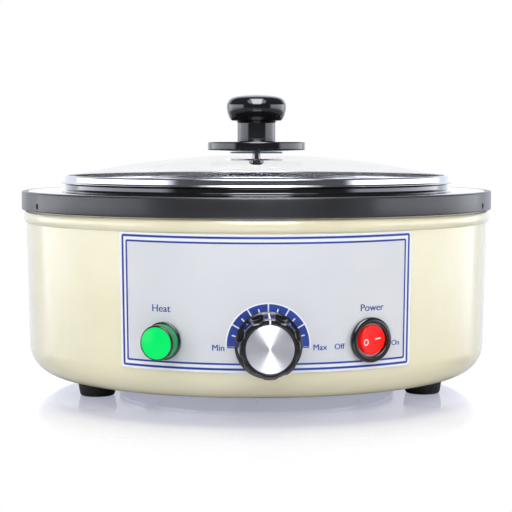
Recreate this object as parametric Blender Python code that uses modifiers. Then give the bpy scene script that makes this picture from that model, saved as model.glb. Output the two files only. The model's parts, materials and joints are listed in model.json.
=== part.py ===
"""Round tissue flotation bath, a heated water bath for laboratory sections.

A cream drawn shell stands on three rubber feet. A black trim ring on its top edge
carries the black bath pot, and a glass lid in a steel band rests on the pot's rim.
The front carries an indicator lamp, a thermostat dial and a round rocker switch.
Sizes are in metres. Heights are above the table, radii are from the bath's upright
axis, and azimuths are angles from the front, which faces -Y, positive towards +X.
"""

import math

import bmesh
import bpy
from mathutils import Matrix, Vector

COLLECTION_NAME = "tissue_flotation_bath"
CUTTER_COLLECTION_NAME = "cutters"

# Fits and facets shared by the whole object
SEAT_GAP = 0.0003
OVERRUN = 0.0040
MERGE_DISTANCE = 0.00001
SCREW_CLEARANCE = 0.0004
LARGE_STEPS = 40
MEDIUM_STEPS = 28
SMALL_STEPS = 16
TINY_STEPS = 12
SHARP_ANGLE = math.radians(32)

# Drawn shell
SHELL_WALL = 0.0016
SHELL_BASE_Z = 0.0080
SHELL_CORNER_RADIUS = 0.0170
SHELL_CORNER_POINTS = 5
SHELL_LOW_RADIUS = 0.1382
SHELL_FLARE = 0.0019
SHELL_SIDE_HEIGHT = 0.0735
SHELL_BEAD_HEIGHT = 0.0072
SHELL_BEAD_PROUD = 0.0017
SHELL_BEAD_POINTS = 4
SHELL_NECK_HEIGHT = 0.0066
SERVICE_HOLE_INSET = 0.0512

# Trim ring: a skirt round the shell's neck and a ledge that carries the pot
RING_SKIRT = 0.0024
RING_EDGE = 0.0008
RING_NECK_CLEARANCE = 0.0005
RING_BEAD_CLEARANCE = 0.0005
RING_TOP_WIDTH = 0.0033
RING_LEDGE_THICKNESS = 0.0017
RING_LEDGE_REACH = 0.0065

# Three screws through the ring's skirt into the shell's neck
TRIM_SCREW_AZIMUTHS = {
    "left": math.radians(-64.4),
    "right": math.radians(64.4),
    "rear": math.pi,
}
TRIM_SCREW_RISE_SHARE = 0.6
TRIM_SCREW_HEAD_RADIUS = 0.0020
TRIM_SCREW_HEAD_HEIGHT = 0.0008
TRIM_SCREW_SEAT = 0.0010
TRIM_SCREW_RADIUS = 0.0012
TRIM_SCREW_REACH = 0.0022

# Gasket between the ring's ledge and the pot
GASKET_THICKNESS = 0.0008
GASKET_INSET = 0.0006

# Bath pot: sloped deck, raised rim, tapered well and a threaded boss below
POT_FLANGE_THICKNESS = 0.0017
POT_FLANGE_CLEARANCE = 0.0004
POT_DECK_WIDTH = 0.0220
POT_DECK_RISE = 0.0008
POT_RIM_HEIGHT = 0.0035
POT_RIM_WIDTH = 0.0030
POT_RIM_ROUND = 0.0008
POT_DEPTH_MARGIN = 0.0115
POT_TAPER = 0.0043
POT_CORNER_RADIUS = 0.0095
POT_CORNER_POINTS = 4
POT_WALL = 0.0026
POT_BOSS_RADIUS = 0.0090
POT_THREAD_DEPTH = 0.0065

# Insulation sleeve on the pot's wall
SLEEVE_THICKNESS = 0.0060
SLEEVE_TOP_DROP = 0.0030
SLEEVE_HEIGHT = 0.0380

# Lid band and glass dome
BAND_SHEET = 0.0006
BAND_FLANGE_REACH = 0.0023
BAND_LIP_WIDTH = 0.0016
BAND_SKIRT_DEPTH = 0.0028
BAND_SKIRT_CLEARANCE = 0.0006
GLASS_THICKNESS = 0.0026
GLASS_RISE = 0.0141
GLASS_HOLE_RADIUS = 0.0035
GLASS_EDGE_CLEARANCE = 0.0005
GLASS_ARC_POINTS = 6

# Washers and screw that clamp the lid's knob
LID_WASHER_RADIUS = 0.0160
LID_WASHER_THICKNESS = 0.0008
LID_SCREW_RADIUS = 0.0025
LID_SCREW_HEAD_RADIUS = 0.0046
LID_SCREW_HEAD_HEIGHT = 0.0026
LID_SCREW_ENGAGEMENT = 0.0125

# Heat guard disc and waisted knob of the lid
GUARD_RADIUS = 0.0300
GUARD_EDGE_THICKNESS = 0.0038
GUARD_UNDERCUT = 0.0009
GUARD_BOSS_RADIUS = 0.0118
GUARD_COLLAR_HEIGHT = 0.0030
GUARD_EDGE_ROUND = 0.0006
KNOB_NECK_RADIUS = 0.0117
KNOB_NECK_HEIGHT = 0.0108
KNOB_NECK_FILLET = 0.0009
KNOB_CAP_BASE_RADIUS = 0.0153
KNOB_CAP_FLARE = 0.00305
KNOB_CAP_HEIGHT = 0.0104
KNOB_CROWN_HEIGHT = 0.0056
KNOB_FLARE_HEIGHT_SHARES = (0.16, 0.50, 0.83, 1.0)
KNOB_FLARE_REACH_SHARES = (0.45, 0.86, 1.0, 0.94)
KNOB_CROWN_RADIUS_SHARES = (0.84, 0.58, 0.32)
KNOB_CROWN_HEIGHT_SHARES = (0.56, 0.84, 0.96)

# Control plate on the front of the shell
PLATE_THICKNESS = 0.0005
PLATE_TOP_MARGIN = 0.0004
PLATE_LOW_DROP = 0.0007
PLATE_HALF_ANGLE = math.radians(35.4)
PLATE_STEPS = 24
PANEL_HOLE_CLEARANCE = 0.0004

# Indicator lamp
LAMP_AZIMUTH = math.radians(-23.5)
LAMP_Z = 0.0402
LAMP_FLANGE_RADIUS = 0.0103
LAMP_FLANGE_HEIGHT = 0.0018
LAMP_FLANGE_ROUND = 0.0006
LAMP_BARREL_RADIUS = 0.0078
LAMP_BARREL_DEPTH = 0.0220
LAMP_BORE_RADIUS = 0.0052
LAMP_FLOOR_THICKNESS = 0.0030
LENS_RADIUS = 0.0095
LENS_HEIGHT = 0.0078
LENS_WALL = 0.0014
LENS_ROUND = 0.0007
BULB_RADIUS = 0.0040
BULB_HEIGHT = 0.0170
BULB_FOOT_RADIUS = 0.0046
BULB_FOOT_HEIGHT = 0.0050
LAMP_NUT_ACROSS = 0.0200
LAMP_NUT_THICKNESS = 0.0030

# Thermostat with its bush, nut and shaft
DIAL_Z = 0.0392
THERMOSTAT_WIDTH = 0.0340
THERMOSTAT_HEIGHT = 0.0260
THERMOSTAT_DEPTH = 0.0240
THERMOSTAT_EDGE = 0.0015
BUSH_RADIUS = 0.0050
BUSH_PROUD = 0.0028
BUSH_NUT_ACROSS = 0.0140
BUSH_NUT_THICKNESS = 0.0020
SHAFT_RADIUS = 0.0030
SHAFT_CLEARANCE = 0.0003
SHAFT_ENTRY = 0.0080

# Dial with its turned insert
DIAL_STANDOFF = 0.0010
DIAL_SKIRT_RADIUS = 0.0181
DIAL_SKIRT_HEIGHT = 0.0024
DIAL_GRIP_RADIUS = 0.0172
DIAL_FACE_RADIUS = 0.0160
DIAL_FACE_ROUND = 0.0007
DIAL_HEIGHT = 0.0175
DIAL_FLUTES = 8
DIAL_FLUTE_RADIUS = 0.0060
DIAL_FLUTE_DEPTH = 0.0021
DIAL_RECESS_RADIUS = 0.0095
DIAL_RECESS_DEPTH = 0.0042
DIAL_BORE_DEPTH = 0.0120
INSERT_RADIUS = 0.0127
INSERT_THICKNESS = 0.0009
INSERT_CROWN = 0.0002

# Round rocker switch
SWITCH_AZIMUTH = math.radians(23.5)
SWITCH_Z = 0.0402
BEZEL_RADIUS = 0.0123
BEZEL_HEIGHT = 0.0024
BEZEL_ROUND = 0.0012
WELL_RADIUS = 0.0091
WELL_DEPTH = 0.0092
WELL_CHAMFER = 0.0005
SWITCH_BARREL_RADIUS = 0.0102
SWITCH_FLOOR_THICKNESS = 0.0080
TAB_WIDTH = 0.0048
TAB_THICKNESS = 0.0008
TAB_LENGTH = 0.0080
TAB_SPREAD = 0.0035
ROCKER_RADIUS = 0.0081
ROCKER_PROUD = 0.0030
ROCKER_SKIRT = 0.0062
ROCKER_HOLLOW = 0.0012
ROCKER_PIVOT_DEPTH = 0.0015
ROCKER_TILT = math.radians(9)
PIN_RADIUS = 0.0010
PIN_CLEARANCE = 0.0003
PIN_ENGAGEMENT = 0.0006

# Feet with their screws, which cut their own thread in the shell's floor
FOOT_AZIMUTHS = {
    "left": math.radians(-60),
    "right": math.radians(60),
    "rear": math.pi,
}
FOOT_INSET = 0.0004
FOOT_TOP_RADIUS = 0.0112
FOOT_LOW_RADIUS = 0.0098
FOOT_ROUND = 0.0012
FOOT_RECESS_RADIUS = 0.0048
FOOT_RECESS_DEPTH = 0.0040
FOOT_SCREW_RADIUS = 0.0020
FOOT_SCREW_HEAD_RADIUS = 0.0039
FOOT_SCREW_HEAD_HEIGHT = 0.0024
FOOT_SCREW_REACH = 0.0048

# Bottom cover with its vents and screws
COVER_LAP = 0.0140
COVER_THICKNESS = 0.0015
COVER_SCREW_AZIMUTHS = {
    "left": math.radians(-48),
    "right": math.radians(48),
    "rear": math.pi,
}
COVER_SCREW_RADIUS = 0.0017
COVER_SCREW_HEAD_RADIUS = 0.0036
COVER_SCREW_HEAD_HEIGHT = 0.0021
COVER_SCREW_REACH = 0.0030
VENT_COUNT = 10
VENT_WIDTH = 0.0030
VENT_LENGTH = 0.0240
VENT_CIRCLE_RADIUS = 0.0400

# Tubular heater under the pot, clamped by a plate on one centre bolt
ELEMENT_RADIUS = 0.0035
ELEMENT_INSET = 0.0400
ELEMENT_END_AZIMUTH = math.radians(24)
ELEMENT_BEND_RADIUS = 0.0080
ELEMENT_LEG_LENGTH = 0.0120
ELEMENT_ARC_POINTS = 26
ELEMENT_BEND_POINTS = 4
END_BEAD_RADIUS = 0.0032
END_BEAD_LENGTH = 0.0050
STUD_RADIUS = 0.0014
STUD_LENGTH = 0.0050
CLAMP_MARGIN = 0.0100
CLAMP_THICKNESS = 0.0015
CLAMP_LIP = 0.0040
BOLT_RADIUS = 0.0025
BOLT_HEAD_ACROSS = 0.0090
BOLT_HEAD_HEIGHT = 0.0030
BOLT_ENGAGEMENT = 0.0050
CUTOUT_AZIMUTH = math.radians(-113)
CUTOUT_CIRCLE_RADIUS = 0.0457
CUTOUT_RADIUS = 0.0080
CUTOUT_HEIGHT = 0.0060
CUTOUT_RIM = 0.0015

# Thermostat's sensor bulb and capillary
SENSOR_RADIUS = 0.0030
SENSOR_START_RADIUS = 0.0150
SENSOR_END_MARGIN = 0.0100
SENSOR_ROUND = 0.0012
CAPILLARY_RADIUS = 0.0008
CAPILLARY_INWARD_SHARES = (0.15, 0.45, 0.75, 0.92)
CAPILLARY_DOWN_SHARES = (0.0, 0.12, 0.60, 0.97)

# Terminal block inside the shell
BLOCK_AZIMUTH = math.radians(150)
BLOCK_MARGIN = 0.0190
BLOCK_WIDTH = 0.0360
BLOCK_DEPTH = 0.0180
BLOCK_HEIGHT = 0.0140
BLOCK_EDGE = 0.0012
BLOCK_SCREW_RADIUS = 0.0015
BLOCK_SCREW_HEAD_RADIUS = 0.0028
BLOCK_SCREW_HEAD_HEIGHT = 0.0018

# Cord gland through the rear wall
GLAND_Z = 0.0340
GLAND_FLANGE_RADIUS = 0.0088
GLAND_FLANGE_HEIGHT = 0.0030
GLAND_FLANGE_ROUND = 0.0010
GLAND_BARREL_RADIUS = 0.0062
GLAND_BARREL_DEPTH = 0.0120
GLAND_BORE_RADIUS = 0.0040
GLAND_NUT_ACROSS = 0.0160
GLAND_NUT_THICKNESS = 0.0040

# Internal leads and the lanes in which they lie on the shell's floor
LEAD_RADIUS = 0.0012
LEAD_GAP = 0.0005
LEAD_STRAIGHT = 0.0040
LEAD_FLOOR_CLEARANCE = 0.0015
LEAD_POINTS_PER_SPAN = 2
LANE_PITCH = 0.0032
LANE_STEP = math.radians(14)
LANE_ENTRY = math.radians(22)
FALL_TURN_SHARES = (0.15, 0.50, 1.0)
FALL_INWARD_SHARES = (0.50, 0.92, 1.0)
FALL_DOWN_SHARES = (0.15, 0.65, 1.0)

# Radii that follow from the shell
SHELL_HIGH_RADIUS = SHELL_LOW_RADIUS + SHELL_FLARE
SHELL_FLAT_RADIUS = SHELL_LOW_RADIUS - SHELL_CORNER_RADIUS
RING_INNER_RADIUS = SHELL_HIGH_RADIUS + RING_NECK_CLEARANCE
RING_RADIUS = RING_INNER_RADIUS + RING_SKIRT
RING_LAND_RADIUS = RING_RADIUS - RING_TOP_WIDTH
LEDGE_INNER_RADIUS = RING_LAND_RADIUS - RING_LEDGE_REACH
POT_FLANGE_RADIUS = RING_LAND_RADIUS - POT_FLANGE_CLEARANCE
POT_RIM_RADIUS = POT_FLANGE_RADIUS - POT_DECK_WIDTH
MOUTH_RADIUS = POT_RIM_RADIUS - POT_RIM_WIDTH
POT_FLOOR_RADIUS = MOUTH_RADIUS - POT_TAPER
BAND_RADIUS = POT_RIM_RADIUS
CHANNEL_RADIUS = BAND_RADIUS - BAND_SHEET
GLASS_RADIUS = CHANNEL_RADIUS - GLASS_EDGE_CLEARANCE
SERVICE_HOLE_RADIUS = SHELL_FLAT_RADIUS - SERVICE_HOLE_INSET
FOOT_CIRCLE_RADIUS = SHELL_FLAT_RADIUS - FOOT_TOP_RADIUS - FOOT_INSET
COVER_RADIUS = SERVICE_HOLE_RADIUS + COVER_LAP
COVER_SCREW_CIRCLE_RADIUS = SERVICE_HOLE_RADIUS + COVER_LAP / 2
BLOCK_CIRCLE_RADIUS = COVER_SCREW_CIRCLE_RADIUS + BLOCK_MARGIN
ELEMENT_CIRCLE_RADIUS = POT_FLOOR_RADIUS - ELEMENT_INSET
CLAMP_RADIUS = ELEMENT_CIRCLE_RADIUS + CLAMP_MARGIN
SENSOR_END_RADIUS = ELEMENT_CIRCLE_RADIUS - SENSOR_END_MARGIN

# Heights that follow from the stack of parts
SHELL_CORNER_Z = SHELL_BASE_Z + SHELL_CORNER_RADIUS
SHELL_FLOOR_Z = SHELL_BASE_Z + SHELL_WALL
BEAD_LOW_Z = SHELL_CORNER_Z + SHELL_SIDE_HEIGHT
BEAD_TOP_Z = BEAD_LOW_Z + SHELL_BEAD_HEIGHT
NECK_TOP_Z = BEAD_TOP_Z + SHELL_NECK_HEIGHT
PLATE_LOW_Z = SHELL_CORNER_Z - PLATE_LOW_DROP
PLATE_HEIGHT = BEAD_LOW_Z - PLATE_TOP_MARGIN - PLATE_LOW_Z
TRIM_SCREW_Z = BEAD_TOP_Z + SHELL_NECK_HEIGHT * TRIM_SCREW_RISE_SHARE
LEDGE_LOW_Z = NECK_TOP_Z + SEAT_GAP
LEDGE_TOP_Z = LEDGE_LOW_Z + RING_LEDGE_THICKNESS
GASKET_LOW_Z = LEDGE_TOP_Z + SEAT_GAP
GASKET_TOP_Z = GASKET_LOW_Z + GASKET_THICKNESS
FLANGE_LOW_Z = GASKET_TOP_Z + SEAT_GAP
DECK_Z = FLANGE_LOW_Z + POT_FLANGE_THICKNESS
RIM_FOOT_Z = DECK_Z + POT_DECK_RISE
POT_RIM_Z = RIM_FOOT_Z + POT_RIM_HEIGHT
POT_DEPTH = SHELL_SIDE_HEIGHT - POT_DEPTH_MARGIN
POT_FLOOR_Z = POT_RIM_Z - POT_DEPTH
POT_UNDER_Z = POT_FLOOR_Z - POT_WALL
POT_BOSS_Z = POT_UNDER_Z - 2 * ELEMENT_RADIUS - SEAT_GAP
CLAMP_TOP_Z = POT_BOSS_Z - SEAT_GAP
CLAMP_LOW_Z = CLAMP_TOP_Z - CLAMP_THICKNESS
ELEMENT_Z = POT_UNDER_Z - SEAT_GAP - ELEMENT_RADIUS
SENSOR_Z = POT_UNDER_Z - SEAT_GAP - SENSOR_RADIUS
CUTOUT_LOW_Z = CLAMP_LOW_Z - SEAT_GAP - CUTOUT_HEIGHT
COVER_TOP_Z = SHELL_BASE_Z - SEAT_GAP
COVER_LOW_Z = COVER_TOP_Z - COVER_THICKNESS
BAND_LOW_Z = POT_RIM_Z + SEAT_GAP
CHANNEL_Z = BAND_LOW_Z + BAND_SHEET
GLASS_LOW_Z = CHANNEL_Z + SEAT_GAP
GLASS_EDGE_Z = GLASS_LOW_Z + GLASS_THICKNESS
GLASS_CROWN_Z = GLASS_EDGE_Z + GLASS_RISE
GLASS_SPHERE_RADIUS = (GLASS_RADIUS**2 + GLASS_RISE**2) / (2 * GLASS_RISE)
LANE_Z = SHELL_FLOOR_Z + LEAD_FLOOR_CLEARANCE + LEAD_RADIUS

# The wall's taper tilts what is mounted on it
WALL_TILT = math.atan2(SHELL_FLARE, SHELL_SIDE_HEIGHT)

# Colour in sRGB, roughness and metallic value of each finish
FINISHES = {
    "cream_enamel": ((240, 236, 212), 0.32, 0.0),
    "black_trim": ((38, 38, 41), 0.38, 0.0),
    "black_anodised": ((26, 26, 28), 0.30, 0.4),
    "silicone": ((190, 188, 182), 0.70, 0.0),
    "glass_wool": ((226, 214, 150), 0.95, 0.0),
    "polished_steel": ((205, 205, 208), 0.14, 1.0),
    "plain_steel": ((170, 170, 172), 0.35, 1.0),
    "galvanised": ((176, 180, 184), 0.45, 0.9),
    "clear_glass": ((214, 228, 230), 0.03, 0.0),
    "black_phenolic": ((22, 22, 25), 0.16, 0.0),
    "black_nylon": ((30, 30, 32), 0.45, 0.0),
    "plate_grey": ((226, 229, 234), 0.40, 0.0),
    "spun_aluminium": ((214, 214, 216), 0.24, 1.0),
    "green_lens": ((20, 214, 102), 0.18, 0.0),
    "bulb_glass": ((236, 240, 232), 0.10, 0.0),
    "red_rocker": ((222, 32, 28), 0.28, 0.0),
    "brass": ((196, 160, 92), 0.32, 1.0),
    "copper": ((190, 116, 82), 0.34, 1.0),
    "ceramic": ((232, 226, 212), 0.50, 0.0),
    "rubber": ((24, 24, 26), 0.65, 0.0),
    "lead_red": ((178, 40, 34), 0.45, 0.0),
}


def linear(value):
    """One sRGB channel, 0 to 255, as the linear value that Blender's colours use."""
    share = value / 255
    return share / 12.92 if share <= 0.04045 else ((share + 0.055) / 1.055) ** 2.4


def finish(name):
    """The material of that finish, made on its first use."""
    found = bpy.data.materials.get(name)
    if found:
        return found
    colour, roughness, metallic = FINISHES[name]
    made = bpy.data.materials.new(name)
    made.use_nodes = True
    shader = made.node_tree.nodes["Principled BSDF"]
    shader.inputs["Base Color"].default_value = (*map(linear, colour), 1)
    shader.inputs["Roughness"].default_value = roughness
    shader.inputs["Metallic"].default_value = metallic
    made.diffuse_color = (*map(linear, colour), 1)
    return made


# Places on the round body


def polar(azimuth, radius, height):
    """A point given by its azimuth, radius and height."""
    return Vector((radius * math.sin(azimuth), -radius * math.cos(azimuth), height))


def standing(azimuth, radius, height):
    """A placement on an upright axis, turned so that its Y points inwards."""
    return Matrix.Translation(polar(azimuth, radius, height)) @ Matrix.Rotation(azimuth, 4, "Z")


def facing_out(azimuth, radius, height, tilt=0):
    """A placement whose Z points out of the wall, with X to the right and Y up."""
    lean = Matrix.Rotation(math.pi / 2 + tilt, 4, "X")
    return Matrix.Translation(polar(azimuth, radius, height)) @ Matrix.Rotation(azimuth, 4, "Z") @ lean


def shell_radius(height):
    """Outer radius of the shell's tapered wall at a height."""
    return SHELL_LOW_RADIUS + SHELL_FLARE * (height - SHELL_CORNER_Z) / SHELL_SIDE_HEIGHT


def on_plate(azimuth, height):
    """A placement on the control plate's front face."""
    radius = shell_radius(height) + SEAT_GAP + PLATE_THICKNESS
    return facing_out(azimuth, radius, height, WALL_TILT)


def on_shell(azimuth, height):
    """A placement on the shell's outer wall."""
    return facing_out(azimuth, shell_radius(height), height, WALL_TILT)


def bulge(half_width):
    """How far a flat piece of that half width stays off the curved, faceted wall."""
    inner = SHELL_LOW_RADIUS - SHELL_WALL
    facet = inner * (1 - math.cos(math.pi / LARGE_STEPS))
    return facet + inner - math.sqrt(inner**2 - half_width**2)


def seat_behind_shell(half_width):
    """Depth behind the shell's outer wall at which a flat piece clears the inside."""
    return SHELL_WALL + bulge(half_width) + SEAT_GAP


def seat_behind_plate(half_width):
    """Depth behind the control plate's face at which a flat piece clears the inside."""
    return PLATE_THICKNESS + SEAT_GAP + seat_behind_shell(half_width)


def pot_wall_radius(height):
    """Outer radius of the pot's tapered wall at a height."""
    low = POT_FLOOR_Z + POT_CORNER_RADIUS
    share = (height - low) / (FLANGE_LOW_Z - low)
    return POT_FLOOR_RADIUS + POT_WALL + (POT_TAPER + POT_RIM_ROUND) * share


def glass_sag(radius):
    """How far the dome has dropped below its crown at a radius."""
    return GLASS_SPHERE_RADIUS - math.sqrt(GLASS_SPHERE_RADIUS**2 - radius**2)


def arc(centre, radius, start, end, count):
    """Points of an arc in a profile, both ends included."""
    angles = [start + (end - start) * i / (count - 1) for i in range(count)]
    return [(centre[0] + radius * math.cos(a), centre[1] + radius * math.sin(a)) for a in angles]


def smooth_line(points, per_span):
    """Points on a smooth curve through the given ones, with straight end runs."""
    line = [points[0]]
    for a, b, c, d in zip(points, points[1:], points[2:], points[3:]):
        for i in range(per_span):
            t = i / per_span
            square = (a * 2 - b * 5 + c * 4 - d) * t**2
            cube = (b * 3 - a - c * 3 + d) * t**3
            line.append((b * 2 + (c - a) * t + square + cube) / 2)
    return [*line, points[-2], points[-1]]


# Making and shaping objects


def collection(name):
    """The collection of that name, linked to the scene on its first use."""
    found = bpy.data.collections.get(name)
    if found:
        return found
    made = bpy.data.collections.new(name)
    bpy.context.scene.collection.children.link(made)
    return made


def add(name, data, material, parent, matrix=None):
    """An object in its collection: a part with its material, or a cutter without."""
    obj = bpy.data.objects.new(name, data)
    if material:
        data.materials.append(finish(material))
        collection(COLLECTION_NAME).objects.link(obj)
    else:
        collection(CUTTER_COLLECTION_NAME).objects.link(obj)
        obj.hide_render = True
        obj.display_type = "WIRE"
    obj.parent = parent
    obj.matrix_local = matrix or Matrix()
    return obj


def add_frame(name, parent, matrix=None):
    """An empty that other pieces are placed on."""
    frame = bpy.data.objects.new(name, None)
    collection(COLLECTION_NAME).objects.link(frame)
    frame.parent = parent
    frame.matrix_local = matrix or Matrix()
    return frame


def add_bmesh(name, bm, material, parent, matrix=None):
    """An object made from a bmesh."""
    mesh = bpy.data.meshes.new(name)
    bm.to_mesh(mesh)
    bm.free()
    return add(name, mesh, material, parent, matrix)


def revolve(obj, steps, angle=2 * math.pi):
    """Turns a profile round its object's Z axis."""
    turn = obj.modifiers.new("turn", "SCREW")
    turn.angle = angle
    turn.steps = steps
    turn.render_steps = steps
    turn.use_merge_vertices = angle == 2 * math.pi
    turn.merge_threshold = MERGE_DISTANCE
    return obj


def turned(name, profile, steps, material, parent, matrix=None, closed=False):
    """A turned solid. Its profile runs down the outer side, top to bottom."""
    bm = bmesh.new()
    points = [bm.verts.new((radius, 0, height)) for radius, height in profile]
    for upper, lower in zip(points, points[1:]):
        bm.edges.new((upper, lower))
    if closed:
        bm.edges.new((points[-1], points[0]))
    return revolve(add_bmesh(name, bm, material, parent, matrix), steps)


def rod(radius, low, high):
    """Profile of a plain rod."""
    return [(0, high), (radius, high), (radius, low), (0, low)]


def tube(outer, inner, low, high):
    """Profile of a plain tube, to be turned closed."""
    return [(inner, high), (outer, high), (outer, low), (inner, low)]


def block(name, size, edge, material, parent, matrix=None):
    """A box with eased corners."""
    bm = bmesh.new()
    bmesh.ops.create_cube(bm, size=1)
    bmesh.ops.scale(bm, vec=size, verts=bm.verts)
    obj = add_bmesh(name, bm, material, parent, matrix)
    if edge:
        ease = obj.modifiers.new("ease", "BEVEL")
        ease.width = edge
        ease.segments = 1
    return obj


def cut(obj, *cutters):
    """Takes the cutters' shapes out of a part."""
    for cutter in cutters:
        cutting = obj.modifiers.new(cutter.name, "BOOLEAN")
        cutting.operation = "DIFFERENCE"
        cutting.object = cutter
    return obj


def finished_mesh(master):
    """The mesh that a master's modifiers make of it. The master goes from the scene."""
    graph = bpy.context.evaluated_depsgraph_get()
    mesh = bpy.data.meshes.new_from_object(master.evaluated_get(graph))
    bpy.data.objects.remove(master, do_unlink=True)
    return mesh


def copies(master, placements):
    """One part for each named placement, made from a master part."""
    parent = master.parent
    mesh = finished_mesh(master)
    for name, matrix in placements.items():
        copy = bpy.data.objects.new(name, mesh)
        collection(COLLECTION_NAME).objects.link(copy)
        copy.parent = parent
        copy.matrix_local = matrix


def cutter_pattern(name, master, placements):
    """One cutter that holds a master cutter's shape at each placement."""
    parent = master.parent
    mesh = finished_mesh(master)
    bm = bmesh.new()
    for matrix in placements:
        piece = mesh.copy()
        piece.transform(matrix)
        bm.from_mesh(piece)
        bpy.data.meshes.remove(piece)
    bpy.data.meshes.remove(mesh)
    return add_bmesh(name, bm, None, parent)


def drill(name, radius, depth, placements, parent, steps=TINY_STEPS):
    """A cutter for round holes that go that deep below each placement."""
    bit = turned(name + "_bit", rod(radius, -depth - OVERRUN, OVERRUN), steps, None, parent)
    return cutter_pattern(name, bit, placements)


def nut(name, across, bore, low, high, material, parent, matrix=None):
    """A hexagon nut between two heights of its placement."""
    bm = bmesh.new()
    corner = across / math.sqrt(3)
    bmesh.ops.create_cone(bm, cap_ends=True, segments=6, radius1=corner, radius2=corner, depth=high - low)
    bmesh.ops.translate(bm, vec=(0, 0, (high + low) / 2), verts=bm.verts)
    obj = add_bmesh(name, bm, material, parent, matrix)
    thread = rod(bore, low - OVERRUN, high + OVERRUN)
    return cut(obj, turned(name + "_bore", thread, SMALL_STEPS, None, parent, matrix))


def wire(name, line, radius, resolution, material, parent):
    """A round wire along a line of points."""
    curve = bpy.data.curves.new(name, "CURVE")
    curve.dimensions = "3D"
    curve.bevel_depth = radius
    curve.bevel_resolution = resolution
    curve.use_fill_caps = True
    spline = curve.splines.new("POLY")
    spline.points.add(len(line) - 1)
    for point, place in zip(spline.points, line):
        point.co = (*place, 1)
    return add(name, curve, material, parent)


# Shell, trim ring and gasket


def build_shell(bath, panel_holes):
    """Cream shell: a drawn bowl with a rolled bead, a neck and a service opening."""
    bead_middle = BEAD_LOW_Z + SHELL_BEAD_HEIGHT / 2
    bead = [
        (SHELL_HIGH_RADIUS + SHELL_BEAD_PROUD * x, bead_middle + SHELL_BEAD_HEIGHT / 2 * y)
        for x, y in arc((0, 0), 1, math.pi / 2, -math.pi / 2, SHELL_BEAD_POINTS)
    ]
    corner = arc(
        (SHELL_FLAT_RADIUS, SHELL_CORNER_Z),
        SHELL_CORNER_RADIUS,
        0,
        -math.pi / 2,
        SHELL_CORNER_POINTS,
    )
    profile = [
        (SHELL_HIGH_RADIUS, NECK_TOP_Z),
        *bead,
        *corner,
        (SERVICE_HOLE_RADIUS, SHELL_BASE_Z),
    ]
    shell = turned("body_shell", profile, LARGE_STEPS, "cream_enamel", bath)
    wall = shell.modifiers.new("wall", "SOLIDIFY")
    wall.thickness = SHELL_WALL
    wall.use_even_offset = True
    trim_places = [
        facing_out(a, SHELL_HIGH_RADIUS, TRIM_SCREW_Z)
        for a in TRIM_SCREW_AZIMUTHS.values()
    ]
    foot_places = [
        standing(a, FOOT_CIRCLE_RADIUS, SHELL_FLOOR_Z)
        for a in FOOT_AZIMUTHS.values()
    ]
    cover_places = [
        standing(a, COVER_SCREW_CIRCLE_RADIUS, SHELL_FLOOR_Z)
        for a in COVER_SCREW_AZIMUTHS.values()
    ]
    block_place = standing(BLOCK_AZIMUTH, BLOCK_CIRCLE_RADIUS, SHELL_FLOOR_Z)
    gland_place = on_shell(math.pi, GLAND_Z)
    gland_radius = GLAND_BARREL_RADIUS + PANEL_HOLE_CLEARANCE
    neck_depth = SHELL_WALL + bulge(TRIM_SCREW_RADIUS)
    gland_depth = SHELL_WALL + bulge(gland_radius)
    trim_radius = TRIM_SCREW_RADIUS + SCREW_CLEARANCE
    foot_radius = FOOT_SCREW_RADIUS + SCREW_CLEARANCE
    cover_radius = COVER_SCREW_RADIUS + SCREW_CLEARANCE
    block_radius = BLOCK_SCREW_RADIUS + SCREW_CLEARANCE
    return cut(
        shell,
        *panel_holes,
        drill("neck_holes", trim_radius, neck_depth, trim_places, bath),
        drill("foot_holes", foot_radius, SHELL_WALL, foot_places, bath),
        drill("cover_screw_holes", cover_radius, SHELL_WALL, cover_places, bath),
        drill("block_screw_hole", block_radius, SHELL_WALL, [block_place], bath),
        drill("gland_hole", gland_radius, gland_depth, [gland_place], bath, SMALL_STEPS),
    )


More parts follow.
